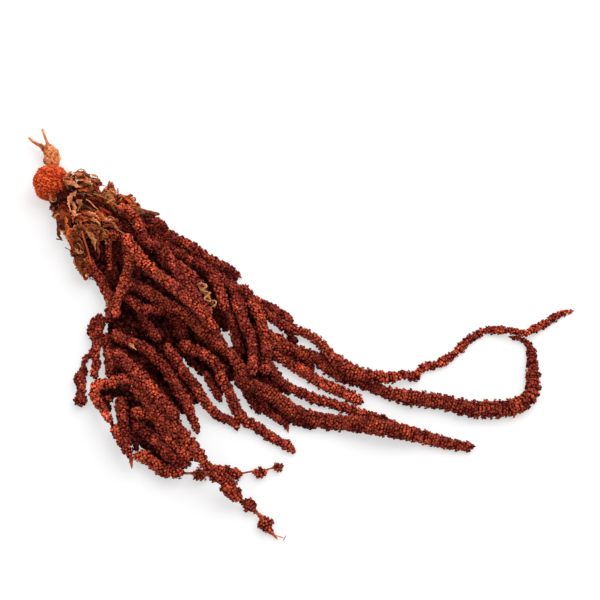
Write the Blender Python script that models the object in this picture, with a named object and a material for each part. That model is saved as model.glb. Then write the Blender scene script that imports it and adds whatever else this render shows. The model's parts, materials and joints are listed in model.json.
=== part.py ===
"""A dried bunch of hanging amaranth, lying on a flat surface: one cut stalk with a round head of
florets at its crown, crumpled leaves round the crown, and a spread of long tassels.

Lengths in the tables and in the shaping are millimetres, and each finished mesh is in metres.
+X runs from the cut stalk towards the longest tassel, +Z is up, and the surface is z = 0. The
origin is a flat spot on the underside of the pile's middle.
"""

import math
from collections import namedtuple

import bpy
import bmesh
import numpy as np
from mathutils import Vector
from mathutils.bvhtree import BVHTree

# Driving dimensions
METRES = 0.001
VIEWPOINT = np.array([115.0, -745.6, 1349.6])
SAMPLE_STEP = 2.0
RING_STEP = 6.0
UNDER_RING_STEP = 9.5
RING_SIDES = 6
CLEARANCE = 0.45
SEAT_GAP = 0.35
FLOOR_SHARE = 0.72
REST_SHARE = 0.55
SPRAY_LIFT = 0.23
TASSEL_FLATNESS = 0.9
SPRAY_FLATNESS = 0.62
SPRAY_PASSES = 3
CROSSING = 7.0
CROSSING_SAG = 2.5
REACH = 12.0
BEND_REACH = 32.0
DROP_STEPS = 14
SEAT_STEPS = 5
LEAST_STEP = 0.03
STEEPEST = 0.42
HUMP_RADIUS = 45.0
EASE_LENGTH = 5.0
THINNEST_FLORETS = 1.6
FULLEST_FLORETS = 4.5
CLUMP_LENGTH = 15.0
LEAF_THICKNESS = 1.0
LEAF_STEP = 6.5
LEAF_COLUMNS = 4
KNOB_RADIUS = 22.0
KNOB_HEIGHT = 17.5
KNOB_SEEN = (-172, 189.5)
SEED = 20

# Colours, as linear red, green and blue
TONES = {
    "bright": (0.42, 0.075, 0.022),
    "red": (0.26, 0.040, 0.016),
    "dark": (0.13, 0.018, 0.012),
    "knob": (0.50, 0.075, 0.020),
    "tan": (0.46, 0.22, 0.085),
    "brown": (0.22, 0.080, 0.034),
    "stalk": (0.60, 0.26, 0.090),
}

# Each route runs from the root to the tip over the surface, as it is seen from VIEWPOINT. A point
# is (x, y) or (x, y, radius): a radius holds until the next stated one, and blends between two.
Tassel = namedtuple("Tassel", "name tone tip route")
Spray = namedtuple("Spray", "name tone routes")
Leaf = namedtuple("Leaf", "name tone width arc facing twist route")

REST_TASSEL = Tassel("tassel_under", "dark", "round", [
    (-80, 54, 6), (-64, 44), (-46, 34), (-30, 26), (-14, 14), (0, 2), (11, -12), (18, -28),
    (28, -44)])

# Hidden tassels on the surface under the pile, grown together where they cross
UNDER_SPRAYS = [
    Spray("under_crown", "dark", [
        [(-132, 128, 6), (-121, 106, 8), (-111, 90), (-103, 74), (-96, 56), (-90, 40, 6)],
        [(-126, 120, 6), (-108, 132, 7.5), (-90, 132), (-68, 126), (-46, 115), (-28, 102, 6)],
        [(-120, 106, 5), (-102, 112, 6), (-92, 104), (-87, 90), (-87, 74), (-87, 58)],
        [(-84, 130, 5), (-74, 114, 6.5), (-66, 98), (-60, 86), (-50, 78)],
        [(-124, 112, 5), (-134, 105, 6), (-131, 94), (-124, 84), (-116, 74, 5)],
    ]),
    Spray("under_back", "dark", [
        [(-84, 82, 5), (-72, 70, 7.5), (-60, 62), (-46, 52), (-32, 42), (-18, 31), (-4, 20),
         (10, 6), (20, -5, 5)],
        [(-40, 54, 5), (-34, 70, 6.5), (-20, 68), (-6, 58), (8, 50), (20, 42), (32, 34), (36, 16, 6)],
        [(-60, 64, 5), (-62, 82, 6), (-54, 92, 7), (-40, 82), (-26, 72)],
        [(-24, 70, 5), (-16, 86, 6.5), (-2, 76), (8, 64), (18, 52), (26, 40)],
        [(-6, 60, 5), (4, 44, 7), (11, 33), (18, 23), (26, 9), (31, -2, 5)],
    ]),
    Spray("under_left", "dark", [
        [(-84, 38, 6), (-72, 18, 8), (-64, -2), (-56, -14), (-44, -26), (-34, -36, 6)],
        [(-82, 16, 6), (-90, -4), (-87, -18), (-83, -34), (-79, -48), (-72, -58, 5)],
        [(-85, -22, 6), (-69, -29, 8.5), (-57, -39), (-44, -50), (-34, -64, 7.5), (-24, -78),
         (-15, -92), (-6, -106, 6)],
        [(-80, 32, 6), (-70, 40, 7), (-60, 38), (-50, 32, 5)],
        [(-78, 18, 5), (-78, 4, 6.5), (-75, -10, 6)],
    ]),
    Spray("under_middle", "dark", [
        [(-60, 22, 6), (-50, 10, 7), (-43, -4, 8), (-36, -16), (-29, -28), (-21, -42), (-13, -55, 6.5),
         (-6, -68), (2, -82), (8, -94, 5)],
        [(-48, 8, 5), (-35, 8, 7), (-27, -6), (-19, -21), (-9, -34), (7, -43), (18, -54, 6),
         (26, -72), (32, -86, 4.5)],
        [(-32, 2, 5), (-20, 4, 6), (-9, 0), (0, -12, 7), (9, -22), (18, -34), (26, -46, 5)],
    ]),
    Spray("under_front", "dark", [
        [(26, -16, 5.5), (34, -34, 6.5), (40, -46), (46, -60), (52, -74, 5)],
        [(40, 34, 5), (46, 18, 6.5), (50, -2), (54, -20), (58, -36), (59, -52), (58, -66, 5.5)],
        [(55, 38, 4.6), (60, 22, 5.5), (64, 4), (68, -14), (72, -30), (74, -46), (74, -60)],
        [(46, -58, 5.5), (58, -60), (70, -61), (82, -63), (94, -72), (104, -82, 4)],
    ]),
    Spray("under_arc", "dark", [
        [(-70, -82, 6), (-64, -98, 7), (-61, -112), (-56, -124), (-47, -135), (-40, -146),
         (-30, -157, 6), (-16, -163), (-2, -166, 5)],
        [(-98, -78, 5.5), (-87, -78, 8.5), (-72, -79), (-58, -86, 7.5), (-48, -96), (-38, -106, 6)],
        [(-63, -106, 5), (-48, -113, 7), (-38, -120), (-29, -131), (-21, -143), (-10, -152, 6)],
        [(-74, -56, 5), (-80, -66, 6), (-84, -78, 6)],
    ]),
]

LOW_TASSELS = [
    Tassel("tassel_low_spray", "red", "round", [
        (-58, -154, 5), (-50, -152, 6), (-43, -154), (-39, -159), (-31, -165), (-27, -169),
        (-18, -170), (-9, -171, 5.8), (-3, -172, 1.6), (4, -172, 1.6), (10, -174, 6.4),
        (17, -172, 4.5), (26, -169, 6), (40, -170, 5.6), (50, -173, 6), (56, -172, 1.2),
        (66, -170, 1.2), (74, -172, 6.6), (81, -168, 1), (87, -166, 1), (93, -165, 5.4),
        (99, -163, 1)]),
    Tassel("tassel_front_dark", "dark", "round", [
        (-60, -112, 6), (-46, -127, 6.5), (-36, -134), (-28, -143), (-20, -152), (-9, -159),
        (4, -162, 6)]),
    Tassel("tassel_left_stub", "red", "round", [
        (-75, -85, 6.5), (-73, -100), (-71, -112), (-69, -123), (-67, -134), (-64, -146)]),
    Tassel("tassel_left_spur", "red", "pointed", [
        (-78, -116, 4), (-79, -123, 5.5), (-74, -129), (-69, -139), (-64, -146, 5), (-60, -154, 3),
        (-58, -168, 1.2)]),
    Tassel("tassel_inner_left", "dark", "round", [
        (-78, 36, 5.5), (-66, 30), (-58, 18), (-52, 4), (-44, -8), (-36, -20)]),
    Tassel("tassel_inner_mid", "dark", "round", [
        (-60, 20, 6), (-45, 22), (-36, 20), (-26, 17), (-20, 7), (-13, -5), (-8, -16)]),
    Tassel("tassel_left_thin", "red", "round", [
        (-96, -8, 5), (-95, -18), (-93, -27), (-91, -39), (-89, -50), (-89, -64)]),
    Tassel("tassel_left_beads", "red", "round", [
        (-101, 15, 4.5), (-109, 6), (-114, -6), (-114, -16), (-109, -23), (-112, -32, 4),
        (-117, -41, 3), (-117, -48, 2.4), (-116, -54, 4.5), (-120, -62, 5.2), (-117, -72, 5),
        (-117, -80, 4), (-118, -88, 5.6), (-115, -96, 6)]),
    Tassel("tassel_left_pair", "red", "round", [
        (-100, 8, 4.5), (-103, -4), (-104, -15), (-105, -27), (-105, -37), (-103, -46, 5),
        (-105, -56), (-101, -65, 4)]),
    Tassel("tassel_front_short", "dark", "round", [
        (14, -55, 4.5), (18, -64), (22, -72), (28, -83), (33, -92)]),
    Tassel("tassel_front_stub", "dark", "round", [
        (48, -50, 5), (50, -62), (56, -74), (62, -86), (68, -96), (74, -106)]),
    Tassel("tassel_front_spur", "dark", "pointed", [
        (72, -80, 5.5), (76, -91), (82, -101), (88, -105), (94, -111, 4.8), (100, -117, 3.6),
        (103, -127, 1.6)]),
    Tassel("tassel_right_short", "red", "round", [
        (26, 66, 4.4), (40, 55), (50, 47), (60, 39), (75, 30), (90, 20), (100, 13), (108, 5)]),
    Tassel("tassel_right_thin", "red", "round", [
        (66, -34, 5.6), (76, -44), (84, -49), (89, -57), (95, -65), (102, -72), (110, -77),
        (120, -82, 6), (130, -87), (140, -90), (150, -93), (160, -97), (170, -101), (180, -105),
        (190, -108), (200, -111), (210, -116, 4.6), (222, -119, 3)]),
    Tassel("tassel_right_inner", "red", "round", [
        (72, -20, 6), (80, -28), (87, -32, 7), (95, -38), (105, -44, 7.4), (113, -50),
        (120, -55, 6.8), (127, -61), (135, -67), (145, -72), (155, -77), (165, -82), (175, -88),
        (183, -92, 6)]),
    Tassel("tassel_right_loop", "bright", "pointed", [
        (66, 2, 6), (74, -6, 6.5), (82, -12, 8), (90, -15, 8.5), (97, -21, 7.5), (103, -27, 7),
        (115, -31), (126, -35), (136, -43), (146, -52), (156, -59), (166, -64), (177, -66),
        (187, -72), (197, -75), (207, -80), (227, -85, 9), (247, -88), (271, -92),
        (294, -99, 9.5), (316, -99, 10), (336, -98, 9.5), (347, -94, 9), (356, -87, 8.5),
        (361, -79, 8), (363, -68), (364, -52, 7), (364, -36, 5.8), (363, -24, 4.4), (355, -16, 3.4),
        (340, -12, 2.4)]),
    Tassel("tassel_right_long", "red", "round", [
        (-75, 140, 5), (-60, 126), (-47, 119), (-36, 108), (-25, 98), (-14, 90), (-3, 82),
        (8, 73), (20, 65), (32, 55), (45, 45), (55, 37), (63, 31), (73, 19), (84, 12), (94, 3),
        (110, -4), (121, -8), (131, -15), (139, -23), (148, -34), (157, -44, 6.6), (167, -51),
        (179, -57), (192, -60), (204, -62, 6.4), (217, -61, 5.2), (226, -58, 4.4), (237, -61, 5.2),
        (243, -54, 3.6), (250, -48, 5), (262, -47, 4), (270, -41, 5.4), (279, -35, 4),
        (291, -23, 5.2), (297, -16, 4), (307, -10, 4.6), (314, -5, 3.6), (327, -4, 4.6),
        (345, -5, 3.6), (353, -8, 4.2), (360, -8, 3.4), (373, -1, 4.6), (387, 7, 4),
        (393, 12, 4.4), (405, 18, 3), (416, 20, 1.8)]),
    Tassel("tassel_top_edge", "red", "pointed", [
        (-60, 133, 5.5), (-48, 129), (-37, 124), (-29, 116), (-20, 110), (-9, 105), (0, 97),
        (11, 88), (22, 81), (32, 76, 5), (42, 69, 3.6), (51, 61, 1.4)]),
    Tassel("tassel_front_left", "red", "round", [
        (-89, -6, 6), (-83, -12), (-72, -18), (-61, -22), (-51, -27), (-40, -38), (-31, -49),
        (-24, -60), (-18, -70), (-12, -81), (-4, -94), (0, -105, 5.5), (5, -116, 5),
        (9, -129, 4)]),
    Tassel("tassel_front_mid", "red", "round", [
        (-30, -22, 5.5), (-19, -39, 6), (-8, -56), (2, -68, 5.5), (9, -80), (15, -91), (22, -100),
        (30, -107), (39, -111), (46, -114), (50, -125, 4.4)]),
    Tassel("tassel_front_right", "red", "round", [
        (-14, -18, 6), (-4, -27), (7, -31), (17, -39), (28, -50), (31, -62), (37, -74),
        (45, -89), (52, -102), (60, -112), (70, -119), (78, -126), (86, -132, 5.5),
        (95, -137), (103, -142), (110, -150, 4.4)]),
    Tassel("tassel_left_edge", "red", "round", [
        (-133, 140, 1.6), (-129, 115, 1.6), (-126, 106, 1.7), (-123, 94, 2), (-121, 84, 5.6),
        (-115, 70, 6), (-107, 61), (-101, 49), (-95, 38), (-91, 28), (-92, 16), (-95, 4, 5.5)]),
    Tassel("tassel_mid_far", "dark", "round", [
        (-5, 84, 5.5), (4, 80), (14, 72), (26, 62), (36, 52), (44, 42), (50, 30), (56, 18)]),
    Tassel("tassel_mid_back", "red", "round", [
        (-45, 92, 6), (-30, 80, 6.5), (-20, 77), (-8, 66), (0, 56), (8, 44)]),
    Tassel("tassel_crown_far", "red", "round", [
        (-90, 156, 4.5), (-82, 147, 5), (-71, 139, 6.2), (-67, 126), (-62, 114), (-52, 106),
        (-40, 100), (-31, 87), (-24, 75), (-17, 62), (-10, 52), (-3, 42), (4, 33), (12, 22),
        (18, 12, 5.4)]),
    Tassel("tassel_mid_right", "red", "round", [
        (15, 66, 5), (24, 52, 5.5), (29, 37), (33, 24), (38, 12), (42, 0), (44, -12), (48, -24),
        (52, -38)]),
    Tassel("tassel_front_long", "bright", "round", [
        (-76, 58, 5.5), (-69, 54, 6.4), (-58, 47), (-48, 42), (-39, 36), (-30, 29), (-17, 21),
        (-6, 10), (5, -2), (14, -11), (24, -20), (33, -28), (42, -36), (49, -46), (54, -57),
        (59, -66), (67, -72, 7), (80, -79, 7.5), (90, -87, 8), (100, -96), (115, -105, 9),
        (125, -109), (135, -112), (147, -114), (160, -115), (180, -118), (200, -121),
        (220, -125), (240, -130, 8.2), (260, -136, 7.4), (275, -140, 6.4), (290, -142, 5.6),
        (298, -142, 4.6)]),
    Tassel("tassel_left_bright", "bright", "round", [
        (-63, -101, 5.5), (-55, -104, 6.4), (-40, -106), (-32, -113), (-28, -122), (-21, -131),
        (-13, -139), (-5, -148), (5, -159, 6)]),
    Tassel("tassel_left_tail", "bright", "round", [
        (-62, -72, 6), (-50, -84, 6.5), (-40, -95), (-31, -104), (-24, -112), (-14, -120),
        (-6, -129), (2, -137, 6.2), (9, -145, 6), (14, -154, 5.5), (18, -162, 5), (22, -169, 4),
        (27, -174, 6.5), (34, -178, 5), (40, -184, 7.5), (45, -191, 9), (50, -197, 6),
        (56, -203, 2.4), (64, -207, 8), (70, -214, 2), (76, -220, 3), (80, -227, 7.5),
        (84, -234, 4), (88, -238, 1.8), (93, -244, 1.4)]),
    Tassel("tassel_left_arc", "bright", "round", [
        (-45, -72, 5.5), (-60, -65, 6), (-75, -63), (-88, -70), (-98, -69, 6), (-104, -78, 5.6),
        (-100, -89, 5.2), (-92, -100, 4.6), (-86, -110, 4.2), (-80, -117, 3.6)]),
    Tassel("tassel_left_fat", "red", "round", [
        (-85, -30, 6), (-76, -42, 7), (-66, -50), (-56, -58), (-48, -70), (-39, -82),
        (-31, -90), (-22, -100, 6.4), (-11, -112, 6)]),
    Tassel("tassel_mid_one", "red", "round", [
        (42, 38, 5), (48, 22, 5.8), (53, 8), (58, -4), (63, -18), (65, -32), (64, -48),
        (64, -62)]),
    Tassel("tassel_mid_two", "red", "round", [
        (50, 52, 5), (57, 43, 5.8), (63, 31), (68, 18), (72, 9), (75, -2), (77, -14), (79, -28),
        (79, -40), (78, -51), (78, -62)]),
]

LEAVES = [
    Leaf("leaf_narrow", "brown", 6, 150, 60, 40, [(-168, 169), (-165, 156), (-161, 143)]),
    Leaf("leaf_folded", "tan", 9, 190, 130, 60, [(-151, 180), (-152, 166), (-148, 152), (-137, 141)]),
    Leaf("leaf_orange", "tan", 8, 200, 80, -60, [(-157, 155), (-152, 138), (-146, 123), (-138, 105)]),
    Leaf("leaf_toothed", "brown", 9, 170, 70, 50, [(-139, 112), (-133, 97), (-129, 81), (-121, 63)]),
    Leaf("leaf_mid", "brown", 11, 210, 100, 70, [(-140, 172), (-123, 166), (-107, 157), (-92, 146)]),
    Leaf("leaf_low", "brown", 9, 190, 60, -50, [(-134, 155), (-125, 143), (-117, 129), (-112, 113)]),
    Leaf("leaf_ridge", "tan", 8, 180, 100, 50, [(-142, 137), (-124, 142), (-110, 141), (-92, 134)]),
    Leaf("leaf_cross", "tan", 8, 200, 80, -60, [(-144, 122), (-128, 125), (-112, 121), (-98, 114)]),
    Leaf("leaf_knob_side", "tan", 9, 220, 70, 90, [
        (-153, 187), (-139, 185), (-126, 180), (-112, 171)]),
    Leaf("leaf_curl", "tan", 7, 240, 90, 120, [
        (-156, 195), (-146, 199), (-136, 200), (-126, 197), (-117, 189)]),
    Leaf("leaf_upright", "tan", 9, 170, 80, 30, [(-99, 155), (-101, 166), (-104, 177), (-104, 188)]),
    Leaf("leaf_loop", "tan", 8, 220, 90, -80, [
        (-103, 159), (-93, 164), (-83, 165), (-75, 160), (-72, 150)]),
    Leaf("leaf_pointed", "brown", 8, 200, 90, 20, [(-92, 142), (-78, 145), (-62, 143), (-44, 141)]),
    Leaf("curl_small", "tan", 3.4, 230, 90, 90, [(5, 48), (13, 45), (13, 37), (18, 29), (25, 26)]),
]

TOP_TASSELS = [
    Tassel("tassel_crown_left", "bright", "round", [
        (-84, 120, 5), (-79, 103, 5.5), (-77, 90), (-76, 75), (-79, 64), (-81, 50), (-84, 38),
        (-88, 26), (-87, 8, 5)]),
    Tassel("tassel_crown_top", "bright", "round", [
        (-84, 118, 6), (-75, 105, 6.5), (-63, 86), (-51, 73), (-38, 61), (-26, 52), (-14, 40),
        (-4, 30), (5, 21), (13, 9), (20, 0, 6), (24, -8, 5)]),
    Tassel("tassel_crown_arch", "red", "round", [
        (-91, 112, 3), (-91, 118, 3.2), (-96, 122), (-100, 117), (-100, 103), (-98, 82),
        (-95, 68)]),
]

SIDE_STEM = [(-163, 146, 1.5), (-161, 130, 1.5), (-158, 116, 1.5), (-150, 113, 1.2)]

# The main stalk: (x, y, height, radius), from the narrow fork through the crown into the pile
LEFT_FORK = [(-205, 254, 9, 2.0), (-196, 246, 9.5, 2.6), (-188, 240, 10, 3.6), (-180, 232, 10, 4.6)]
RIGHT_FORK = [(-190, 268, 13, 1.8), (-186, 257, 12, 2.0), (-182, 246, 11, 2.6), (-178, 234, 10, 3.8)]
STALK = [
    (-182, 236, 10, 4.0), (-177, 226, 10, 5.2), (-174, 215, 11, 5.4), (-171, 204, 11.5, 5.2),
    (-167, 192, 10.5, 5.0), (-159, 179, 8, 4.8), (-148, 164, 5.6, 4.6), (-136, 148, 4.6, 4.4),
    (-124, 132, 4.3, 4.2), (-110, 114, 4.0, 4.0), (-95, 95, 3.6, 3.6), (-80, 77, 3.0, 3.0),
]
COLLAR = [(-184, 243, 11, 5.6), (-180, 236, 11, 9.8), (-175, 229, 11, 11.2), (-173, 221, 12, 9.6),
          (-172, 214, 12, 7.2)]
COLLAR_FLUTES = 7
STALK_STEP = 9.0
COLLAR_STEP = 7.0


def clear_scene():
    for old in list(bpy.data.objects):
        bpy.data.objects.remove(old, do_unlink=True)


def surface(name, tone, roughness=0.85):
    """A dry, dull finish in one of the bunch's colours."""
    material = bpy.data.materials.new(name)
    material.use_nodes = True
    shader = material.node_tree.nodes["Principled BSDF"]
    shader.inputs["Base Color"].default_value = (*TONES[tone], 1.0)
    shader.inputs["Roughness"].default_value = roughness
    shader.inputs["Metallic"].default_value = 0.0
    return material


def towards_view(seen, height):
    """The true plan position of points seen at these surface points, but lying at a height."""
    share = (np.asarray(height) / VIEWPOINT[2])[:, None]
    return seen + (VIEWPOINT[:2] - seen) * share


def spline(points, step):
    """Points every step along a smooth curve through the given ones, with all their columns."""
    points = np.asarray(points, float)
    ends = np.vstack([2 * points[0] - points[1], points, 2 * points[-1] - points[-2]])
    fine = []
    for k in range(len(points) - 1):
        a, b, c, d = ends[k : k + 4]
        for t in np.linspace(0, 1, 12, endpoint=False):
            fine.append(0.5 * (2 * b + (c - a) * t + (2 * a - 5 * b + 4 * c - d) * t**2
                               + (3 * b - a - 3 * c + d) * t**3))
    fine = np.array(fine + [points[-1]])
    along = distance_along(fine[:, :2])
    even = np.linspace(0, along[-1], max(3, round(along[-1] / step) + 1))
    return np.column_stack([np.interp(even, along, column) for column in fine.T])


def stand_up(points, step):
    """Smooth true points (x, y, height, radius) of a line whose plan is given as it is seen."""
    fine = spline(points, step)
    return np.column_stack([towards_view(fine[:, :2], fine[:, 2]), fine[:, 2:]])


def distance_along(points):
    return np.concatenate([[0], np.cumsum(np.linalg.norm(np.diff(points, axis=0), axis=1))])


def read_route(route):
    """Even samples (x, y, radius) of a tassel's route."""
    held = []
    radius = route[0][2]
    for point in route:
        radius = point[2] if len(point) == 3 else radius
        held.append((point[0], point[1], radius))
    samples = spline(held, SAMPLE_STEP)
    samples[:, 2] = np.clip(samples[:, 2], min(p[2] for p in held), max(p[2] for p in held))
    return samples


def eased(need, along):
    """The least height line above need that a stiff, dry tassel takes: limited slope, round humps."""
    apart = np.abs(along[:, None] - along[None, :])
    straight = HUMP_RADIUS * STEEPEST
    ramp = np.where(apart < straight, apart**2 / (2 * HUMP_RADIUS),
                    STEEPEST * apart - HUMP_RADIUS * STEEPEST**2 / 2)
    weight = np.exp(-0.5 * (apart / EASE_LENGTH) ** 2)
    weight /= weight.sum(axis=1, keepdims=True)
    target = need.copy()
    for _ in range(6):
        line = weight @ (target[None, :] - ramp).max(axis=1)
        short = need - line
        if short.max() <= 0.01:
            break
        target += np.maximum(short, 0)
    return np.maximum(line, need)


class Pile:
    """What has been laid so far: flattened balls along each middle line, and the meshes."""

    def __init__(self):
        self.balls = np.empty((0, 5))
        self.points = np.empty((0, 3))
        self.faces = np.empty((0, 3), int)
        self.probes = np.empty((0, 3))

    def lay(self, seen, radius, lowest, flatness=1.0):
        """Middle line of a piece that is laid over everything before it and seen at these points."""
        along = distance_along(seen)
        height = eased(lowest, along)
        for _ in range(40):
            plan = towards_view(seen, height)
            need = np.maximum(lowest, self.clearing(plan, radius, flatness))
            higher = np.maximum(height, eased(need, along))
            risen = (higher - height).max()
            height = higher
            if risen < 0.02:
                break
        return np.column_stack([towards_view(seen, height), height])

    def clearing(self, plan, radius, flatness):
        if not len(self.balls):
            return np.zeros(len(plan))
        apart = np.linalg.norm(plan[:, None] - self.balls[None, :, :2], axis=2)
        reach = radius[:, None] + self.balls[None, :, 3] + CLEARANCE
        tall = flatness * radius[:, None] + self.balls[None, :, 3] * self.balls[None, :, 4] + CLEARANCE
        over = self.balls[None, :, 2] + np.sqrt(np.maximum(reach**2 - apart**2, 0)) * tall / reach
        return np.where(apart < reach, over, 0).max(axis=1)

    def keep(self, line, radius, points, faces, flatness=1.0):
        balls = np.column_stack([line, radius, np.full(len(line), flatness)])
        self.balls = np.vstack([self.balls, balls])
        self.faces = np.vstack([self.faces, faces + len(self.points)])
        self.points = np.vstack([self.points, points])
        self.probes = np.vstack([self.probes, probes_on(points, faces)])

    def drop(self, points, faces):
        """How far a piece slides, away from the viewpoint, until it nearly meets what is under it."""
        moved = np.zeros(3)
        if not len(self.points):
            return moved
        middle = points.mean(axis=0)
        way = (middle - VIEWPOINT) / np.linalg.norm(middle - VIEWPOINT)
        for _ in range(DROP_STEPS):
            gap = self.closest(points + moved, faces)[0]
            room = (points[:, 2] + moved[2]).min() / -way[2]
            step = min(gap - SEAT_GAP, room)
            if step < LEAST_STEP:
                break
            moved = moved + way * step
        return moved

    def seat(self, points, faces, line):
        """Bends a piece where it comes closest to the pile, until it nearly meets it there."""
        for _ in range(SEAT_STEPS):
            gap, place, way = self.closest(points, faces)
            if gap - SEAT_GAP < LEAST_STEP or gap >= REACH:
                break
            points = points + bend_share(points, place) * way * (gap - SEAT_GAP)
            line = line + bend_share(line, place) * way * (gap - SEAT_GAP)
            points[:, 2] = np.maximum(points[:, 2], 0)
        return points, line

    def closest(self, points, faces):
        """The gap to the pile, the piece's place where it is least, and the way to go there."""
        best = (REACH, points[0], np.zeros(3))
        if not len(self.points):
            return best
        low, high = points.min(axis=0) - REACH, points.max(axis=0) + REACH
        inside = ((self.points > low) & (self.points < high)).all(axis=1)
        near_faces = self.faces[inside[self.faces].any(axis=1)]
        if not len(near_faces):
            return best
        pile_tree = BVHTree.FromPolygons(self.points.tolist(), near_faces.tolist())
        piece_tree = BVHTree.FromPolygons(points.tolist(), faces.tolist())
        near_probes = self.probes[((self.probes > low) & (self.probes < high)).all(axis=1)]
        for tree, probes, towards in ((pile_tree, probes_on(points, faces), 1),
                                      (piece_tree, near_probes, -1)):
            for probe in probes.tolist():
                found, _, _, gap = tree.find_nearest(probe, best[0])
                if found is not None and gap < best[0]:
                    probe, found = np.array(probe), np.array(found)
                    place = probe if towards == 1 else found
                    best = (gap, place, towards * (found - probe) / max(gap, 1e-6))
        return best


def bend_share(points, place):
    """One at a place, falling smoothly to nothing at BEND_REACH from it."""
    apart = np.linalg.norm(points - place, axis=1)
    return (np.clip(1 - (apart / BEND_REACH) ** 2, 0, 1) ** 2)[:, None]


def probes_on(points, faces):
    """Points on a mesh: its vertices and two places along every edge."""
    ends = np.unique(np.sort(faces[:, [0, 1, 1, 2, 2, 0]].reshape(-1, 2), axis=1), axis=0)
    first, second = points[ends[:, 0]], points[ends[:, 1]]
    return np.vstack([points, first * 2 / 3 + second / 3, first / 3 + second * 2 / 3])


def frames(line):
    """Unit vectors along, to the side of and above each point of a nearly level line."""
    ahead = np.gradient(line, axis=0)
    ahead /= np.linalg.norm(ahead, axis=1, keepdims=True)
    side = np.cross(ahead, [0, 0, 1])
    side /= np.linalg.norm(side, axis=1, keepdims=True)
    return ahead, side, np.cross(side, ahead)


def ring_places(route, along, radius, tip, step):
    """Distances along a tassel at which it has a ring: at each stated radius, and evenly between."""
    stated = [0.0]
    for point in route:
        if len(point) == 3:
            stated.append(point_distance(route, point, along[-1]))
    first = min(0.35 * radius[0], 0.1 * along[-1])
    last = along[-1] - min((0.35 if tip == "round" else 0.2) * radius[-1], 0.1 * along[-1])
    inner = sorted({round(s, 1) for s in stated if first + 2 < s < last - 2})
    marks = [first, *inner, last]
    places = []
    for a, b in zip(marks, marks[1:]):
        count = max(1, round((b - a) / step))
        places += [a + (b - a) * k / count for k in range(count)]
    return np.array(places + [last])


def point_distance(route, point, length):
    """How far along the smooth route one of its own points lies."""
    held = np.array([p[:2] for p in route], float)
    corner = distance_along(held)
    return corner[route.index(point)] / corner[-1] * length


def florets(rings, radius, rng):
    """Share of the full radius at each corner of each ring: one corner in three stands out."""
    full = np.clip((radius - THINNEST_FLORETS) / (FULLEST_FLORETS - THINNEST_FLORETS), 0, 1)[:, None]
    row, corner = np.mgrid[0:rings, 0:RING_SIDES]
    out = (corner - row) % 3 == 0
    share = np.where(out, rng.uniform(0.94, 1.0, out.shape), rng.uniform(0.74, 0.86, out.shape))
    return 1 - full * (1 - share)


def tassel_mesh(line, samples, route, tip, rng, flatness=TASSEL_FLATNESS, step=RING_STEP):
    """Rings of florets round the middle line, closed by a point at the root and at the tip."""
    along = distance_along(samples[:, :2])
    places = ring_places(route, along, samples[:, 2], tip, step)
    centres = np.column_stack([np.interp(places, along, axis) for axis in line.T])
    radius = np.interp(places, along, samples[:, 2])
    clump = 1 - 0.04 * (1 + np.sin(2 * math.pi * places / CLUMP_LENGTH + rng.uniform(0, 6)))
    clump = np.where(radius > FULLEST_FLORETS - 1.5, clump, 1)
    from_end = np.minimum(places, along[-1] - places)
    round_off = np.clip(from_end / (1.1 * radius), 0, 1)
    radius = radius * clump * np.sqrt(1 - (1 - round_off) ** 2 * 0.85)
    ahead, side, up = frames(centres)
    share = florets(len(places), radius, rng)
    points = [line[0]]
    for j in range(len(places)):
        for i in range(RING_SIDES):
            angle = 2 * math.pi * (i + 0.5 * (j % 2)) / RING_SIDES - math.pi / 2
            reach = radius[j] * share[j, i]
            out = math.cos(angle) * side[j] + flatness * math.sin(angle) * up[j]
            points.append(centres[j] + reach * out)
    points.append(line[-1])
    points = np.array(points)
    points[:, 2] = np.maximum(points[:, 2], 0)
    return points, np.array(tube_faces(len(places)))


def tube_faces(rings):
    """Triangles of staggered rings with a pole at each end, all facing out."""
    faces = []
    end = rings * RING_SIDES + 1
    for i in range(RING_SIDES):
        faces.append((0, 1 + (i + 1) % RING_SIDES, 1 + i))
        faces.append((end, end - RING_SIDES + i, end - RING_SIDES + (i + 1) % RING_SIDES))
    for j in range(rings - 1):
        here, there = 1 + j * RING_SIDES, 1 + (j + 1) * RING_SIDES
        for i in range(RING_SIDES):
            after = (i + 1) % RING_SIDES
            if j % 2 == 0:
                faces.append((here + i, here + after, there + i))
                faces.append((here + after, there + after, there + i))
            else:
                faces.append((here + i, there + after, there + i))
                faces.append((here + i, here + after, there + after))
    return faces


def leaf_mesh(line, leaf, rng):
    """A shrivelled blade, rolled round its middle line, with waved edges and a pointed end."""
    along = distance_along(line)
    rows = max(5, round(along[-1] / LEAF_STEP) + 1)
    places = np.linspace(0, along[-1], rows)
    centres = np.column_stack([np.interp(places, along, axis) for axis in line.T])
    ahead, side, up = frames(centres)
    part = places / along[-1]
    half = leaf.width * np.clip(0.35 + 2.2 * part, 0, 1) * np.clip(1.25 * (1 - part) ** 0.7 + 0.1, 0, 1)
    half = np.maximum(half, 2 * LEAF_THICKNESS)
    outer, inner = [], []
    for j in range(rows):
        wave = 1 + 0.16 * (-1) ** j
        for i in range(LEAF_COLUMNS + 1):
            across = (2 * i / LEAF_COLUMNS - 1) * wave
            angle = math.radians(leaf.facing + leaf.twist * (part[j] - 0.5) + across * leaf.arc / 2)
            ray = math.cos(angle) * side[j] + math.sin(angle) * up[j]
            reach = half[j] * rng.uniform(0.82, 1.0)
            outer.append(centres[j] + ray * reach)
            inner.append(centres[j] + ray * (reach - LEAF_THICKNESS))
    points = np.array(outer + inner)
    points[:, 2] = np.maximum(points[:, 2], 0.02)
    return points, np.array(blade_faces(rows, LEAF_COLUMNS + 1))


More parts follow.
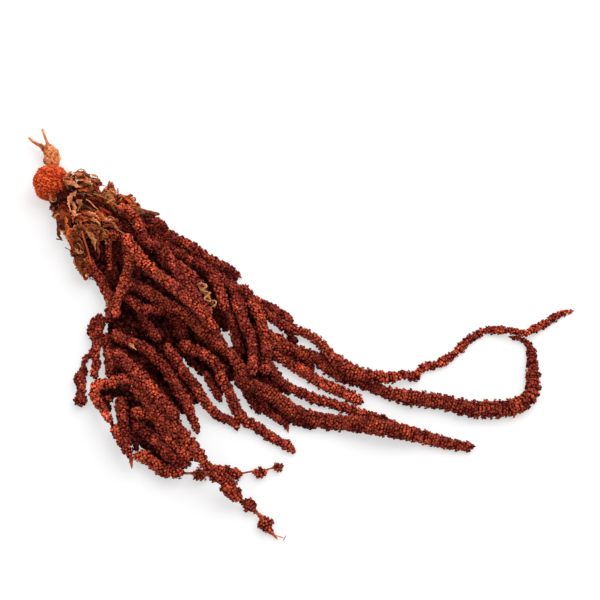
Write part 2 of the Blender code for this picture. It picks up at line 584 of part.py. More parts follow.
def blade_faces(rows, columns):
    """Triangles of two like grids, split alike, joined round their rim, all facing out."""
    back = rows * columns
    faces = []
    rim = []
    for j in range(rows - 1):
        for i in range(columns - 1):
            a = j * columns + i
            b, c, d = a + 1, a + columns + 1, a + columns
            faces += [(a, d, c), (a, c, b)]
            faces += [(back + a, back + c, back + d), (back + a, back + b, back + c)]
    rim += [(j * columns, (j + 1) * columns) for j in range(rows - 1)]
    rim += [((rows - 1) * columns + i, (rows - 1) * columns + i + 1) for i in range(columns - 1)]
    rim += [((j + 1) * columns - 1, j * columns - 1) for j in range(rows - 1, 0, -1)]
    rim += [(i + 1, i) for i in range(columns - 2, -1, -1)]
    for a, b in rim:
        faces += [(b, a, back + a), (b, back + a, back + b)]
    return faces


def add_object(name, points, faces, material, home):
    """A closed mesh object whose origin is its root, turned the right way out."""
    mesh = bpy.data.meshes.new(name)
    root = points[0] * METRES
    mesh.from_pydata((points * METRES - root).tolist(), [], faces.tolist())
    shape = bmesh.new()
    shape.from_mesh(mesh)
    bmesh.ops.recalc_face_normals(shape, faces=shape.faces)
    shape.to_mesh(mesh)
    shape.free()
    mesh.materials.append(material)
    thing = bpy.data.objects.new(name, mesh)
    thing.location = root
    home.objects.link(thing)
    return thing


def add_tassel(tassel, pile, rng, home, floor_share=FLOOR_SHARE):
    samples = read_route(tassel.route)
    seen, radius = samples[:, :2], samples[:, 2]
    line = pile.lay(seen, radius, radius * floor_share, TASSEL_FLATNESS)
    points, faces = tassel_mesh(line, samples, tassel.route, tassel.tip, rng)
    moved = pile.drop(points, faces)
    points, line = pile.seat(points + moved, faces, line + moved)
    pile.keep(line, radius, points, faces, TASSEL_FLATNESS)
    add_object(tassel.name, points, faces, surface(tassel.name, tassel.tone), home)


def beside(line, others):
    """Height that holds a line within reach of the other lines that pass each of its points."""
    held = np.zeros(len(line))
    for other in others:
        if other is not line:
            apart = np.linalg.norm(line[:, None, :2] - other[None, :, :2], axis=2)
            held = np.maximum(held, np.where(apart < CROSSING, other[:, 2], 0).max(axis=1))
    return held - CROSSING_SAG


def add_spray(spray, pile, rng, home):
    """Several tassels laid at one level, so that they meet where they cross, as one solid."""
    samples = [read_route(route) for route in spray.routes]
    lowest = [member[:, 2] * SPRAY_FLATNESS + SPRAY_LIFT * (number + 1)
              for number, member in enumerate(samples)]
    for _ in range(SPRAY_PASSES):
        lines = [pile.lay(member[:, :2], member[:, 2], low, SPRAY_FLATNESS)
                 for member, low in zip(samples, lowest)]
        lowest = [np.maximum(low, beside(line, lines)) for line, low in zip(lines, lowest)]
    joined = None
    for route, member, line in zip(spray.routes, samples, lines):
        points, faces = tassel_mesh(
            line, member, route, "round", rng, SPRAY_FLATNESS, UNDER_RING_STEP)
        part = add_object(spray.name, points, faces, surface(spray.name, spray.tone), home)
        if joined is None:
            joined = part
        else:
            cut_or_join(joined, part, "UNION")
    points, faces = world_mesh(joined)
    points, line = pile.seat(points, faces, np.vstack(lines))
    for vertex, point in zip(joined.data.vertices, points):
        vertex.co = joined.matrix_world.inverted() @ Vector(point * METRES)
    pile.keep(line, np.vstack(samples)[:, 2], points, faces, SPRAY_FLATNESS)


def add_leaf(leaf, pile, rng, home):
    samples = spline([(x, y, leaf.width) for x, y in leaf.route], SAMPLE_STEP)
    seen, radius = samples[:, :2], samples[:, 2]
    line = pile.lay(seen, radius, radius * 0.9)
    points, faces = leaf_mesh(line, leaf, rng)
    moved = pile.drop(points, faces)
    points, line = pile.seat(points + moved, faces, line + moved)
    pile.keep(line, radius, points, faces)
    add_object(leaf.name, points, faces, surface(leaf.name, leaf.tone, 0.75), home)


def add_curve(name, points, home):
    """A round, tapered rod as a curve with filled caps: points are (x, y, height, radius)."""
    data = bpy.data.curves.new(name, "CURVE")
    data.dimensions = "3D"
    data.bevel_depth = METRES
    data.bevel_resolution = 2
    data.use_fill_caps = True
    spline_data = data.splines.new("POLY")
    spline_data.points.add(len(points) - 1)
    for target, (x, y, z, radius) in zip(spline_data.points, points):
        target.co = (x * METRES, y * METRES, z * METRES, 1)
        target.radius = radius
    rod = bpy.data.objects.new(name, data)
    home.objects.link(rod)
    return rod


def as_mesh(rod, home):
    """The rod as a closed mesh object of the same name."""
    name = rod.name
    graph = bpy.context.evaluated_depsgraph_get()
    mesh = bpy.data.meshes.new_from_object(rod.evaluated_get(graph))
    shape = bmesh.new()
    shape.from_mesh(mesh)
    bmesh.ops.remove_doubles(shape, verts=shape.verts, dist=1e-6)
    bmesh.ops.recalc_face_normals(shape, faces=shape.faces)
    bmesh.ops.triangulate(shape, faces=shape.faces)
    shape.to_mesh(mesh)
    shape.free()
    bpy.data.objects.remove(rod, do_unlink=True)
    solid = bpy.data.objects.new(name, mesh)
    home.objects.link(solid)
    return solid


def world_mesh(thing):
    """An object's evaluated points, in millimetres, and its triangles."""
    graph = bpy.context.evaluated_depsgraph_get()
    mesh = thing.evaluated_get(graph).to_mesh()
    mesh.calc_loop_triangles()
    points = np.array([tuple(thing.matrix_world @ v.co) for v in mesh.vertices]) / METRES
    faces = np.array([tuple(t.vertices) for t in mesh.loop_triangles])
    return points, faces


def cut_or_join(target, other, operation):
    """A Boolean between two meshes, applied, and the other object removed."""
    modifier = target.modifiers.new(operation, "BOOLEAN")
    modifier.operation = operation
    modifier.object = other
    bpy.context.view_layer.update()
    graph = bpy.context.evaluated_depsgraph_get()
    mesh = bpy.data.meshes.new_from_object(target.evaluated_get(graph))
    target.modifiers.remove(modifier)
    target.data = mesh
    bpy.data.objects.remove(other, do_unlink=True)


def collar_mesh():
    """The papery sheath at the top of the stalk: a fluted, flared sleeve round its middle line."""
    centres = stand_up(COLLAR, COLLAR_STEP)[:, :3]
    radii = stand_up(COLLAR, COLLAR_STEP)[:, 3]
    ahead, side, up = frames(centres)
    corners = 2 * COLLAR_FLUTES
    points = [centres[0]]
    for j, radius in enumerate(radii):
        for i in range(corners):
            angle = 2 * math.pi * i / corners
            reach = radius * (1.0 if (i + j) % 2 else 0.80)
            points.append(centres[j] + reach * (math.cos(angle) * side[j] + math.sin(angle) * up[j]))
    points.append(centres[-1])
    last = len(points) - 1
    faces = []
    for i in range(corners):
        after = (i + 1) % corners
        faces.append((0, 1 + after, 1 + i))
        faces.append((last, last - corners + i, last - corners + after))
        for j in range(len(radii) - 1):
            here, there = 1 + j * corners, 1 + (j + 1) * corners
            faces += [(here + i, here + after, there + i), (here + after, there + after, there + i)]
    return np.array(points), np.array(faces)


def add_stalk(pile, home):
    """The cut stalk: two cut forks, the sheath, and the main stem that runs on under the pile."""
    fine = stand_up(STALK, STALK_STEP)
    stalk = as_mesh(add_curve("stalk", fine, home), home)
    for name, fork in (("left_fork", LEFT_FORK), ("right_fork", RIGHT_FORK)):
        cut_or_join(stalk, as_mesh(add_curve(name, stand_up(fork, STALK_STEP), home), home), "UNION")
    points, faces = collar_mesh()
    sheath = add_object("sheath", points, faces, surface("sheath", "stalk"), home)
    cut_or_join(stalk, sheath, "UNION")
    stalk.data.materials.clear()
    stalk.data.materials.append(surface("stalk", "stalk"))
    points, faces = world_mesh(stalk)
    line = np.vstack([stand_up(STALK, SAMPLE_STEP), stand_up(COLLAR, SAMPLE_STEP)])
    pile.keep(line[:, :3], line[:, 3], points, faces)


def add_knob(pile, rng, home, cutters):
    """The round head of florets at the crown, threaded on the stalk by a plain hole."""
    seen = np.array([KNOB_SEEN], float)
    centre = np.array([*towards_view(seen, [KNOB_HEIGHT])[0], KNOB_HEIGHT])
    shape = bmesh.new()
    bmesh.ops.create_icosphere(shape, subdivisions=3, radius=1)
    for vertex in shape.verts:
        x, y, z = vertex.co
        rows = 0.5 + 0.5 * math.sin(9 * math.atan2(z, x) + 7 * y)
        reach = KNOB_RADIUS * (0.88 + 0.06 * rows + rng.uniform(0, 0.06))
        place = np.array([x, y, z]) * reach + centre
        place[2] = max(place[2], 0)
        vertex.co = place * METRES
    mesh = bpy.data.meshes.new("crown_knob")
    shape.to_mesh(mesh)
    shape.free()
    mesh.materials.append(surface("crown_knob", "knob"))
    knob = bpy.data.objects.new("crown_knob", mesh)
    home.objects.link(knob)
    wider = [(x, y, z, radius + 0.35) for x, y, z, radius in stand_up(STALK, STALK_STEP)]
    cut_or_join(knob, as_mesh(add_curve("stalk_hole", wider, cutters), cutters), "DIFFERENCE")
    points, faces = world_mesh(knob)
    pile.keep(centre[None, :], np.array([KNOB_RADIUS]), points, faces)


def add_side_stem(pile, home):
    """A bare dark side stem with a hooked end, beside the leaves."""
    samples = read_route(SIDE_STEM)
    line = pile.lay(samples[:, :2], samples[:, 2], samples[:, 2] + 0.1)
    rod = [(*place, radius) for place, radius in zip(line[::3].tolist(), samples[::3, 2])]
    stem = as_mesh(add_curve("side_stem", rod, home), home)
    stem.data.materials.append(surface("side_stem", "dark"))
    points, faces = world_mesh(stem)
    points, line = pile.seat(points, faces, line)
    for vertex, point in zip(stem.data.vertices, points):
        vertex.co = Vector(point * METRES)
    pile.keep(line, samples[:, 2], points, faces)


def build():
    clear_scene()
    home = bpy.data.collections.new("amaranth_bunch")
    cutters = bpy.data.collections.new("cutters")
    bpy.context.scene.collection.children.link(home)
    bpy.context.scene.collection.children.link(cutters)
    rng = np.random.default_rng(SEED)
    pile = Pile()
    add_stalk(pile, home)
    add_knob(pile, rng, home, cutters)
    add_spray(UNDER_SPRAYS[0], pile, rng, home)
    add_tassel(REST_TASSEL, pile, rng, home, REST_SHARE)
    for spray in UNDER_SPRAYS[1:]:
        add_spray(spray, pile, rng, home)
    for tassel in LOW_TASSELS:
        add_tassel(tassel, pile, rng, home)
    for leaf in LEAVES:
        add_leaf(leaf, pile, rng, home)
    add_side_stem(pile, home)
    for tassel in TOP_TASSELS:
        add_tassel(tassel, pile, rng, home)
    bpy.data.collections.remove(cutters)


build()
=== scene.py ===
"""The looks of a dried bunch of hanging amaranth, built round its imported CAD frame: clusters of dry
florets on every tassel, crumpled leaves, the papery stalk, a pale floor and soft light.

Shapes are worked out in millimetres from the frame's own solids, and each finished mesh is in metres.
"""

import json
import math
from collections import namedtuple

import bmesh
import bpy
import numpy as np
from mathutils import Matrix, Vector, noise
from mathutils.bvhtree import BVHTree

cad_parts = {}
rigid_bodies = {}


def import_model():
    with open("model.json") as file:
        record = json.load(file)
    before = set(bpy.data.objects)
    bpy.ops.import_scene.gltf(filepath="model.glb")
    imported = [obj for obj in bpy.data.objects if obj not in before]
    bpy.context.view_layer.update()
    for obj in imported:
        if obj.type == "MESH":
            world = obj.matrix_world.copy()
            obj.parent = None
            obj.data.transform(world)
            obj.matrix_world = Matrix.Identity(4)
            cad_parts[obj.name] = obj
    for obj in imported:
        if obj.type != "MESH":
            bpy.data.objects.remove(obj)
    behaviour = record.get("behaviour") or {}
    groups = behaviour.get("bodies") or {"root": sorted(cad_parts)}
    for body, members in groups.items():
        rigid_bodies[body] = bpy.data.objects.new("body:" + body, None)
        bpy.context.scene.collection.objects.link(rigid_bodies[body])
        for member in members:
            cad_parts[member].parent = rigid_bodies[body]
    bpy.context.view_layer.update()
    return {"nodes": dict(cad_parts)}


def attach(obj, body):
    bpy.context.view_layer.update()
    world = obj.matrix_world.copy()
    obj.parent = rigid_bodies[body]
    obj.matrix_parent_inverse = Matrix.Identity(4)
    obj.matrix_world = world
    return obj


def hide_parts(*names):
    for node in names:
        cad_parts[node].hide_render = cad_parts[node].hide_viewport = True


METRES = 0.001
SEED = 11

# The camera and the studio, in metres and watts
CAMERA_PLACE = (0.115, -0.7456, 1.34956)
CAMERA_TARGET = (0.115, 0.0336, 0.0)
CAMERA_LENS = 85.0
KEY_PLACE = (0.9, 0.9, 1.5)
KEY_TARGET = (0.05, 0, 0)
KEY_SIZE = 2.0
KEY_POWER = 26.0
SKY_STRENGTH = 0.80
FLOOR_HALF = 4.0
FLOOR_TONE = 0.50
FLOOR_GLOW = 0.48

# How the solids are read: where every tassel's root is, and how flat a tassel is
CROWN = np.array([-150.0, 170.0, 10.0])
TASSEL_FLATNESS = 0.9
WELD = 2e-5
LINE_STEP = 1.0
LOWEST = 0.05

# Clusters of florets, finer on the tassels and coarser deep in the pile: a dome with its rings' tilts
# and painted shades, whose corners stand out or in by turns, darker where they sink and on the lower
# ring, and pointed buds on it
Cluster = namedtuple("Cluster", "size pitch spacing buds")
FINE = Cluster(1.65, 2.75, 1.8, 2)
COARSE = Cluster(2.5, 4.3, 1.7, 1)
CLUSTER_SHAPES = 14
CLUSTER_RINGS = ((40.0, 0.90, 0.40), (84.0, 0.55, 0.22))
CLUSTER_SIDES = 8
STANDING = (0.98, 1.18)
SUNKEN = (0.68, 0.86)
BUD_SIDES = 3
BUD_LENGTHS = (0.45, 0.65)
BUD_WIDTHS = (0.14, 0.20)
BUD_LIGHTS = (0.76, 1.28)
BUD_WARMTH = 0.14

# How clusters sit on a tassel, in whorls round a core that is bare where it is thin
CLUSTER_STRETCH = (1.12, 0.95, 0.88)
CLUSTER_SIZES = (0.84, 1.20)
CLUSTER_SHARE = 0.56
CLUSTER_SUNK = 0.70
CLUSTER_LEAN = 0.40
CLUSTER_TILT = 0.2
CLUMP_WAVES = ((0.50, 1, 1), (0.30, 1.63, -2), (0.35, 0.57, 0))
JITTER = 0.24
WHORL_START = 0.8
WHORL_END = 0.4
WHORL_WAVE = 0.6
WHORL_JITTER = 0.6
WHORL_LEAST = 0.55
TIP_LENGTH = 7.0
TIP_LEAST = 0.10
SPIKE_SHARE = 0.04
SPIKE_TILT = 0.35
CORE_SIDES = 10
CORE_PITCH = 2.6
CORE_RAISED = 0.25
CORE_LEAST = 0.25
BARE_RADIUS = 2.1
BARE_SHARE = 0.75
TWIG_SIDES = 6
TWIG_PITCH = 1.5

# Which clusters are left out, because nothing would be seen of them, and how thickly a spray is set
HIDDEN_DEPTH = 2.6
BELOW = -0.75
BELOW_SKIPPED = 0.6
SPRAY_AREA = 17.0
SPRAY_BELOW = -0.4
SPRAY_SUNK = 1.3
SPRAY_TAPER = 0.7

# How light and warmth vary, from cluster to cluster, in patches and from a tassel's sides to its top:
# the tops' extra light is painted light and the sides' loss is painted shade, and the tops' extra warmth
# is sun fade together with painted light
CLUSTER_LIGHTS = (0.72, 1.32)
DEEP_LIGHTS = (0.6, 1.3)
PATCH_SHARE = 0.42
PATCH_SIZE = 6.5
CREST_LEAST = 0.42
CREST_GAIN = 0.39
WARM_PATCH = 0.24
WARM_PATCH_SIZE = 14.0
WARM_SPREAD = 0.09
WARM_ON_TOP = 0.17

# Colours of a floret at its base, its body and its tip, as linear red, green and blue, from the
# coldest, nearly black maroon to the warmest, faded orange; the near-black bases are the florets' own
# deep maroon together with painted shade in the crevices between them
COLDEST = np.array([(0.010, 0.0006, 0.0004), (0.098, 0.0062, 0.0052), (0.21, 0.032, 0.025)])
MIDDLE = np.array([(0.018, 0.0010, 0.0006), (0.325, 0.0215, 0.0115), (0.330, 0.076, 0.051)])
WARMEST = np.array([(0.070, 0.0060, 0.0030), (0.680, 0.0620, 0.0180), (0.58, 0.165, 0.080)])
# The round head's colour on its crests, and in its furrows, where its deeper tone is darkened by painted
# shade
KNOB_CREST = np.array([0.95, 0.165, 0.045])
KNOB_FURROW_TONE_AND_SHADE = np.array([0.36, 0.020, 0.004])
# The tassels' near-black core: painted shade where it shows between the clusters
CORE = np.array([0.050, 0.0030, 0.0018])
BUD_STEPS = (0.0, 0.55, 1.0)
BARE_STEM = (0.38, 0.085, 0.032)

# How each tassel looks: how warm and how light it is, how far its florets reach against its solid, how
# strongly and how closely it is clumped, and how far its clusters turn out of line
Look = namedtuple("Look", "warmth light reach clump length turn", defaults=(1.00, 0.26, 6.5, 0.9))
ARC = Look(0.72, 1.15, clump=0.24)
BRIGHT = Look(0.64, 1.04, clump=0.24)
WARM = Look(0.54, 1.22)
RED = Look(0.43, 1.04)
DARK = Look(0.24, 0.95)
# The look of florets deep in the pile: their low light is painted shade
SHADED_DEEP = Look(0.15, 0.45, 1.05, 0.24, 8.5)
BEADED = Look(0.50, 0.84, 1.11, 0.30, 7.5)
FAR = Look(0.58, 1.02, 1.11, 0.30, 7.5)
SLIM = Look(0.50, 0.95, 1.02, 0.22, 7.5)
LOOP = Look(0.48, 0.84, 0.99, 0.26, 7.5, 0.5)
LONG = Look(0.52, 0.75, 0.98, 0.22, 6.5, 0.7)
TAIL = Look(0.60, 0.90, 1.07, 0.26, 8.0)
LOOKS = {
    "crown_arch": BRIGHT, "crown_left": BRIGHT, "crown_top": BRIGHT, "left_bright": BRIGHT,
    "front_dark": DARK, "front_short": DARK, "front_spur": DARK, "front_stub": DARK,
    "inner_left": DARK, "inner_mid": DARK, "mid_far": DARK, "under": DARK,
    "left_beads": BEADED, "top_edge": BEADED, "low_spray": FAR, "right_long": FAR, "left_arc": ARC,
    "front_long": LONG, "right_loop": LOOP, "left_pair": SLIM, "left_tail": TAIL, "right_inner": WARM,
}
BRIGHT_FROM = 0.62

# Short tassels deep in the pile, dark with painted shade, by the spray that each belongs to: its height,
# its half width and the places that it runs through
TANGLE = {
    "under_back": [
        (8, 5.0, [(-31, 107), (-19, 97), (-8, 89), (4, 82)]),
        (7, 4.5, [(17, 76), (29, 67), (40, 59), (47, 55)]),
        (8, 4.5, [(29, 47), (36, 35), (40, 25), (43, 9)]),
        (8, 5.0, [(-36, 96), (-28, 88), (-18, 79)]),
    ],
    "under_crown": [
        (10, 5.5, [(-110, 103), (-103, 90), (-99, 75)]),
        (8, 5.5, [(-97, 108), (-90, 93), (-93, 78), (-91, 65), (-85, 49)]),
        (10, 5.0, [(-88, 113), (-84, 97), (-81, 82)]),
        (12, 5.5, [(-112, 116), (-100, 117), (-91, 117), (-83, 115)]),
        (10, 5.0, [(-65, 107), (-57, 96), (-44, 90)]),
        (8, 5.5, [(-70, 86), (-67, 73), (-70, 58), (-74, 47)]),
        (8, 5.5, [(-52, 79), (-40, 67), (-31, 57), (-17, 44)]),
        (13, 6.0, [(-143, 158), (-137, 142), (-128, 128), (-118, 116)]),
        (13, 6.0, [(-130, 160), (-118, 150), (-104, 142), (-90, 130)]),
        (12, 5.0, [(-140, 132), (-132, 116), (-126, 98)]),
        (14, 5.0, [(-84, 137), (-72, 131), (-58, 126), (-40, 116)]),
    ],
    "under_middle": [
        (8, 5.5, [(-57, 28), (-47, 24), (-39, 11), (-27, 5)]),
        (8, 5.0, [(-67, 18), (-60, 5), (-51, -7), (-43, -18)]),
        (8, 5.0, [(-39, 1), (-32, -11), (-25, -24)]),
        (8, 5.0, [(-36, -33), (-27, -47), (-17, -64)]),
        (8, 5.0, [(-25, -4), (-14, -17), (-3, -23), (5, -34)]),
        (7, 4.5, [(-6, -44), (5, -53), (15, -64)]),
    ],
    "under_left": [
        (8, 5.0, [(-76, -34), (-61, -46), (-50, -58), (-38, -74), (-27, -89)]),
        (8, 5.0, [(-16, -66), (-7, -83), (2, -98)]),
        (7, 4.5, [(-86, -3), (-75, -12), (-64, -18)]),
        (7, 4.5, [(-86, -35), (-82, -52), (-84, -66)]),
        (7, 4.0, [(-77, -72), (-63, -75)]),
    ],
    "under_arc": [
        (6, 4.0, [(-97, -86), (-89, -96), (-83, -106)]),
        (6, 4.5, [(-62, -124), (-56, -137), (-54, -151)]),
    ],
    "under_front": [
        (8, 5.0, [(19, 32), (27, 16), (33, 1), (36, -11)]),
        (8, 5.0, [(13, -2), (22, -8), (30, -12)]),
        (7, 4.0, [(54, 17), (58, 2)]),
        (7, 5.0, [(101, -8), (107, -18), (111, -27)]),
        (7, 4.5, [(113, -40), (121, -46), (129, -52)]),
        (7, 4.0, [(136, -36), (145, -46), (152, -53)]),
        (7, 4.5, [(31, -46), (37, -56), (43, -70)]),
        (7, 4.0, [(69, -67), (81, -71), (94, -78), (106, -85)]),
        (5, 4.5, [(77, -91), (89, -101), (102, -111), (117, -118), (134, -122)]),
    ],
}

# Strands that show on top of the pile: the tassel or spray that each belongs to, its look, and the
# places and half widths that it runs through
STRANDS = {
    "tassel_crown_far": [
        (BRIGHT, [(-84, 128, 45, 4), (-76, 121, 47, 5), (-69, 114, 47, 5.5), (-64, 106, 43, 5.5),
                  (-59, 97, 38, 5)]),
        (DARK, [(-56, 122, 32, 3), (-47, 118, 32, 4.5), (-38, 112, 32, 4.5), (-30, 106, 32, 3)]),
    ],
    "under_crown": [
        (DARK, [(-96, 108, 24, 3.5), (-87, 112, 26, 4), (-78, 110, 26, 4), (-69, 103, 24, 3)]),
        (SHADED_DEEP, [(-161, 161, 20, 4), (-152, 156, 22, 5), (-145, 150, 22, 4)]),
        (SHADED_DEEP, [(-156, 152, 14, 4), (-149, 144, 18, 5), (-142, 135, 18, 4)]),
        (SHADED_DEEP, [(-149, 161, 22, 4), (-140, 155, 24, 5), (-134, 147, 24, 4)]),
        (DARK, [(-84, 119, 24, 3.5), (-76, 111, 26, 4), (-69, 98, 22, 3.5)]),
        (SHADED_DEEP, [(-95, 138, 16, 3), (-88, 133, 16, 5), (-80, 128, 16, 5), (-74, 124, 16, 3)]),
    ],
    "tassel_left_beads": [
        (SLIM, [(-117, -84, 7, 2), (-116, -87, 7, 5), (-115, -92, 7, 6.5), (-115, -97, 7, 5.5),
                (-115, -100, 7, 2)]),
        (SLIM, [(-119, -58, 7, 2.5), (-119, -64, 7, 5.5), (-118, -71, 7, 5.5), (-117, -76, 7, 2.5)]),
    ],
    "under_middle": [
        (DARK, [(24, -16, 20, 3), (29, -25, 20, 4.5), (33, -32, 20, 4.5), (38, -38, 20, 3)]),
    ],
    "under_arc": [(DARK, [(-88, -90, 12, 3), (-83, -94, 12, 3.5), (-80, -98, 12, 3)])],
}

# Colours of the leaves, the stems and the papery sheath
PALE = (0.84, 0.300, 0.125)
RUST = (0.74, 0.140, 0.034)
OLIVE = (0.50, 0.180, 0.060)
UMBER = (0.24, 0.050, 0.015)
RED_BROWN = (0.42, 0.048, 0.014)
STEM_RED = (0.54, 0.092, 0.027)
STRAW = (0.70, 0.300, 0.150)
SIDE_STEM = (0.13, 0.022, 0.010)
PAPER = (0.92, 0.36, 0.145)
PAPER_FOLD = (0.42, 0.085, 0.022)
PAPER_RED = (0.62, 0.130, 0.036)

# How each leaf looks: its main colour, its colour in the folds, how many curled strips it has, how far
# it is crumpled, and the colours of its strips
LeafLook = namedtuple("LeafLook", "face fold strips crumple colours")
TAN = LeafLook((0.46, 0.125, 0.042), (0.060, 0.007, 0.002), 34, 0.8,
               (PALE, PALE, RUST, RED_BROWN, OLIVE, UMBER))
BROWN = LeafLook((0.22, 0.056, 0.019), (0.036, 0.005, 0.002), 30, 0.9, (UMBER, RED_BROWN, OLIVE, PALE))
ORANGE = LeafLook((0.40, 0.085, 0.025), (0.085, 0.010, 0.003), 30, 0.8, (RUST, PALE, RED_BROWN, PALE))
POINTED = LeafLook((0.30, 0.085, 0.030), (0.050, 0.009, 0.004), 0, 0.15, ())
SCRAP = LeafLook((0.50, 0.190, 0.080), (0.10, 0.030, 0.012), 0, 0.3, ())
LEAF_LOOKS = {
    "leaf_narrow": BROWN, "leaf_toothed": BROWN, "leaf_low": BROWN, "leaf_pointed": POINTED,
    "leaf_orange": ORANGE, "leaf_ridge": ORANGE, "leaf_loop": ORANGE, "curl_small": SCRAP,
}
# Hollows among the leaves, by middle and size, and how much painted shade darkens the leaves in them
LEAF_SHADED_HOLLOWS = (((-154.0, 149.0, 20.0), 11.0), ((-127.0, 141.0, 28.0), 8.0), ((-140.0, 162.0, 26.0), 6.0))
LEAF_HOLLOW_LOSS = 0.85
LEAF_SHIFTS = {"leaf_pointed": np.array([0.0, 5.0, 0.0])}

# Curled strips that the photograph shows, by the leaf that each belongs to: its colour, its width and
# the places that it runs through
CURLS = {
    "leaf_folded": [
        (PALE, 6.0, [(-138, 155, 24), (-132, 143, 27), (-136, 131, 25)]),
        (PALE, 5.0, [(-142, 150, 24), (-138, 136, 25), (-138, 120, 22)]),
        (PALE, 6.5, [(-138, 158, 30), (-142, 148, 32), (-142, 138, 32), (-140, 128, 32)]),
        (PALE, 5.5, [(-140, 129, 33), (-134, 124, 34), (-127, 127, 33)]),
    ],
    "leaf_cross": [
        (PALE, 4.5, [(-120, 120, 33), (-112, 115, 36), (-105, 108, 34)]),
        (OLIVE, 6.0, [(-122, 108, 32), (-114, 95, 32), (-110, 79, 28)]),
        (UMBER, 5.0, [(-109, 104, 30), (-109, 87, 29), (-105, 73, 26)]),
        (OLIVE, 4.0, [(-93, 114, 33), (-86, 105, 34), (-78, 99, 33)]),
        (UMBER, 4.5, [(-106, 107, 33), (-97, 110, 34), (-88, 107, 33)]),
    ],
    "leaf_ridge": [
        (PALE, 5.0, [(-125, 124, 36), (-116, 122, 38), (-106, 116, 35)]),
        (OLIVE, 5.5, [(-118, 117, 30), (-109, 109, 31), (-110, 99, 28)]),
        (PALE, 4.0, [(-107, 120, 32), (-98, 116, 33), (-91, 120, 31)]),
    ],
    "leaf_mid": [
        (RED_BROWN, 5.0, [(-110, 140, 24), (-102, 132, 27), (-95, 128, 26)]),
        (UMBER, 6.0, [(-115, 155, 24), (-106, 153, 25), (-101, 144, 24)]),
    ],
    "leaf_upright": [(OLIVE, 6.0, [(-101, 157, 31), (-96, 146, 33), (-91, 138, 31)])],
    "leaf_loop": [
        (RUST, 5.0, [(-86, 145, 39), (-78, 141, 41), (-70, 134, 39)]),
        (RUST, 4.0, [(-67, 132, 38), (-74, 131, 39), (-83, 135, 37)]),
    ],
    "leaf_orange": [(RUST, 6.5, [(-149, 130, 24), (-145, 112, 24), (-140, 96, 20)])],
    "leaf_toothed": [
        (UMBER, 7.0, [(-132, 86, 22), (-130, 70, 21), (-122, 55, 16)]),
        (UMBER, 6.0, [(-124, 74, 14), (-119, 64, 14), (-116, 53, 10)]),
        (OLIVE, 6.0, [(-133, 75, 12), (-128, 65, 13), (-121, 57, 9)]),
    ],
    "leaf_low": [
        (OLIVE, 5.0, [(-97, 22, 22), (-92, 13, 20)]),
        (PALE, 4.5, [(-66, -34, 24), (-62, -37, 25), (-58, -42, 24)]),
    ],
    "leaf_knob_side": [
        (RED_BROWN, 6.0, [(-126, 174, 22), (-116, 168, 24), (-112, 158, 22)]),
        (PALE, 6.0, [(-149, 167, 36), (-139, 163, 37), (-130, 160, 35)]),
    ],
    "leaf_curl": [(PALE, 5.5, [(-136, 172, 34), (-126, 169, 35), (-119, 162, 32)])],
    "leaf_narrow": [(UMBER, 5.0, [(-165, 146, 16), (-161, 135, 18), (-157, 123, 14)])],
    "curl_small": [
        (OLIVE, 5.0, [(5, 35, 30), (11, 26, 31), (17, 17, 31), (24, 7, 30)]),
        (STRAW, 3.4, [(3, 33, 32), (8, 36, 34), (14, 32, 34), (9, 27, 33), (13, 24, 34), (19, 23, 34)]),
        (STRAW, 3.4, [(19, 23, 34), (13, 17, 33), (17, 13, 34), (24, 13, 34), (25, 7, 34), (17, 5, 33)]),
    ],
}

# Thin bare stems that the photograph shows, in the same form, with their half widths
TWIGS = {
    "leaf_mid": [
        (PALE, 0.8, [(-126, 149, 27), (-121, 144, 30), (-115, 137, 30), (-110, 134, 27)]),
        (OLIVE, 0.7, [(-118, 155, 30), (-101, 144, 35), (-88, 130, 42), (-76, 118, 46)]),
    ],
    "leaf_pointed": [(PALE, 0.8, [(-90, 131, 40), (-80, 130, 42), (-69, 128, 41)])],
    "leaf_cross": [
        (STEM_RED, 1.2, [(-129, 117, 34), (-125, 100, 29), (-120, 86, 22), (-117, 76, 21),
                         (-114, 66, 20)]),
    ],
    "leaf_upright": [
        (UMBER, 0.6, [(-112, 170, 27), (-109, 168, 28), (-105, 167, 26)]),
        (RED_BROWN, 1.0, [(-89, 148, 32), (-90, 161, 32)]),
    ],
    "side_stem": [
        (UMBER, 1.3, [(-164, 154, 12), (-161, 142, 12), (-157, 124, 11), (-154, 112, 9)]),
        (UMBER, 1.0, [(-159, 108, 8), (-155, 107, 9), (-150, 106, 8)]),
    ],
    "leaf_toothed": [(UMBER, 0.6, [(-148, 96, 10), (-144, 93, 11), (-139, 90, 12)])],
    "leaf_curl": [(UMBER, 0.5, [(-138, 190, 22), (-134, 184, 23), (-135, 177, 22)])],
    "tassel_left_tail": [
        (PALE, 1.0, [(76, -229, 4), (83, -235, 4), (90, -240, 3), (99, -243, 3)]),
        (UMBER, 0.5, [(98, -246, 3), (100, -243, 4), (101, -240, 4)]),
    ],
    "stalk": [
        (PAPER, 1.7, [(-187.2, 257.6, 13.0), (-184.8, 252.0, 12.5), (-181.8, 244.0, 11.6)]),
        (PAPER, 1.7, [(-203.0, 248.0, 9.2), (-198.0, 243.4, 9.4), (-192.0, 238.0, 9.7)]),
    ],
}

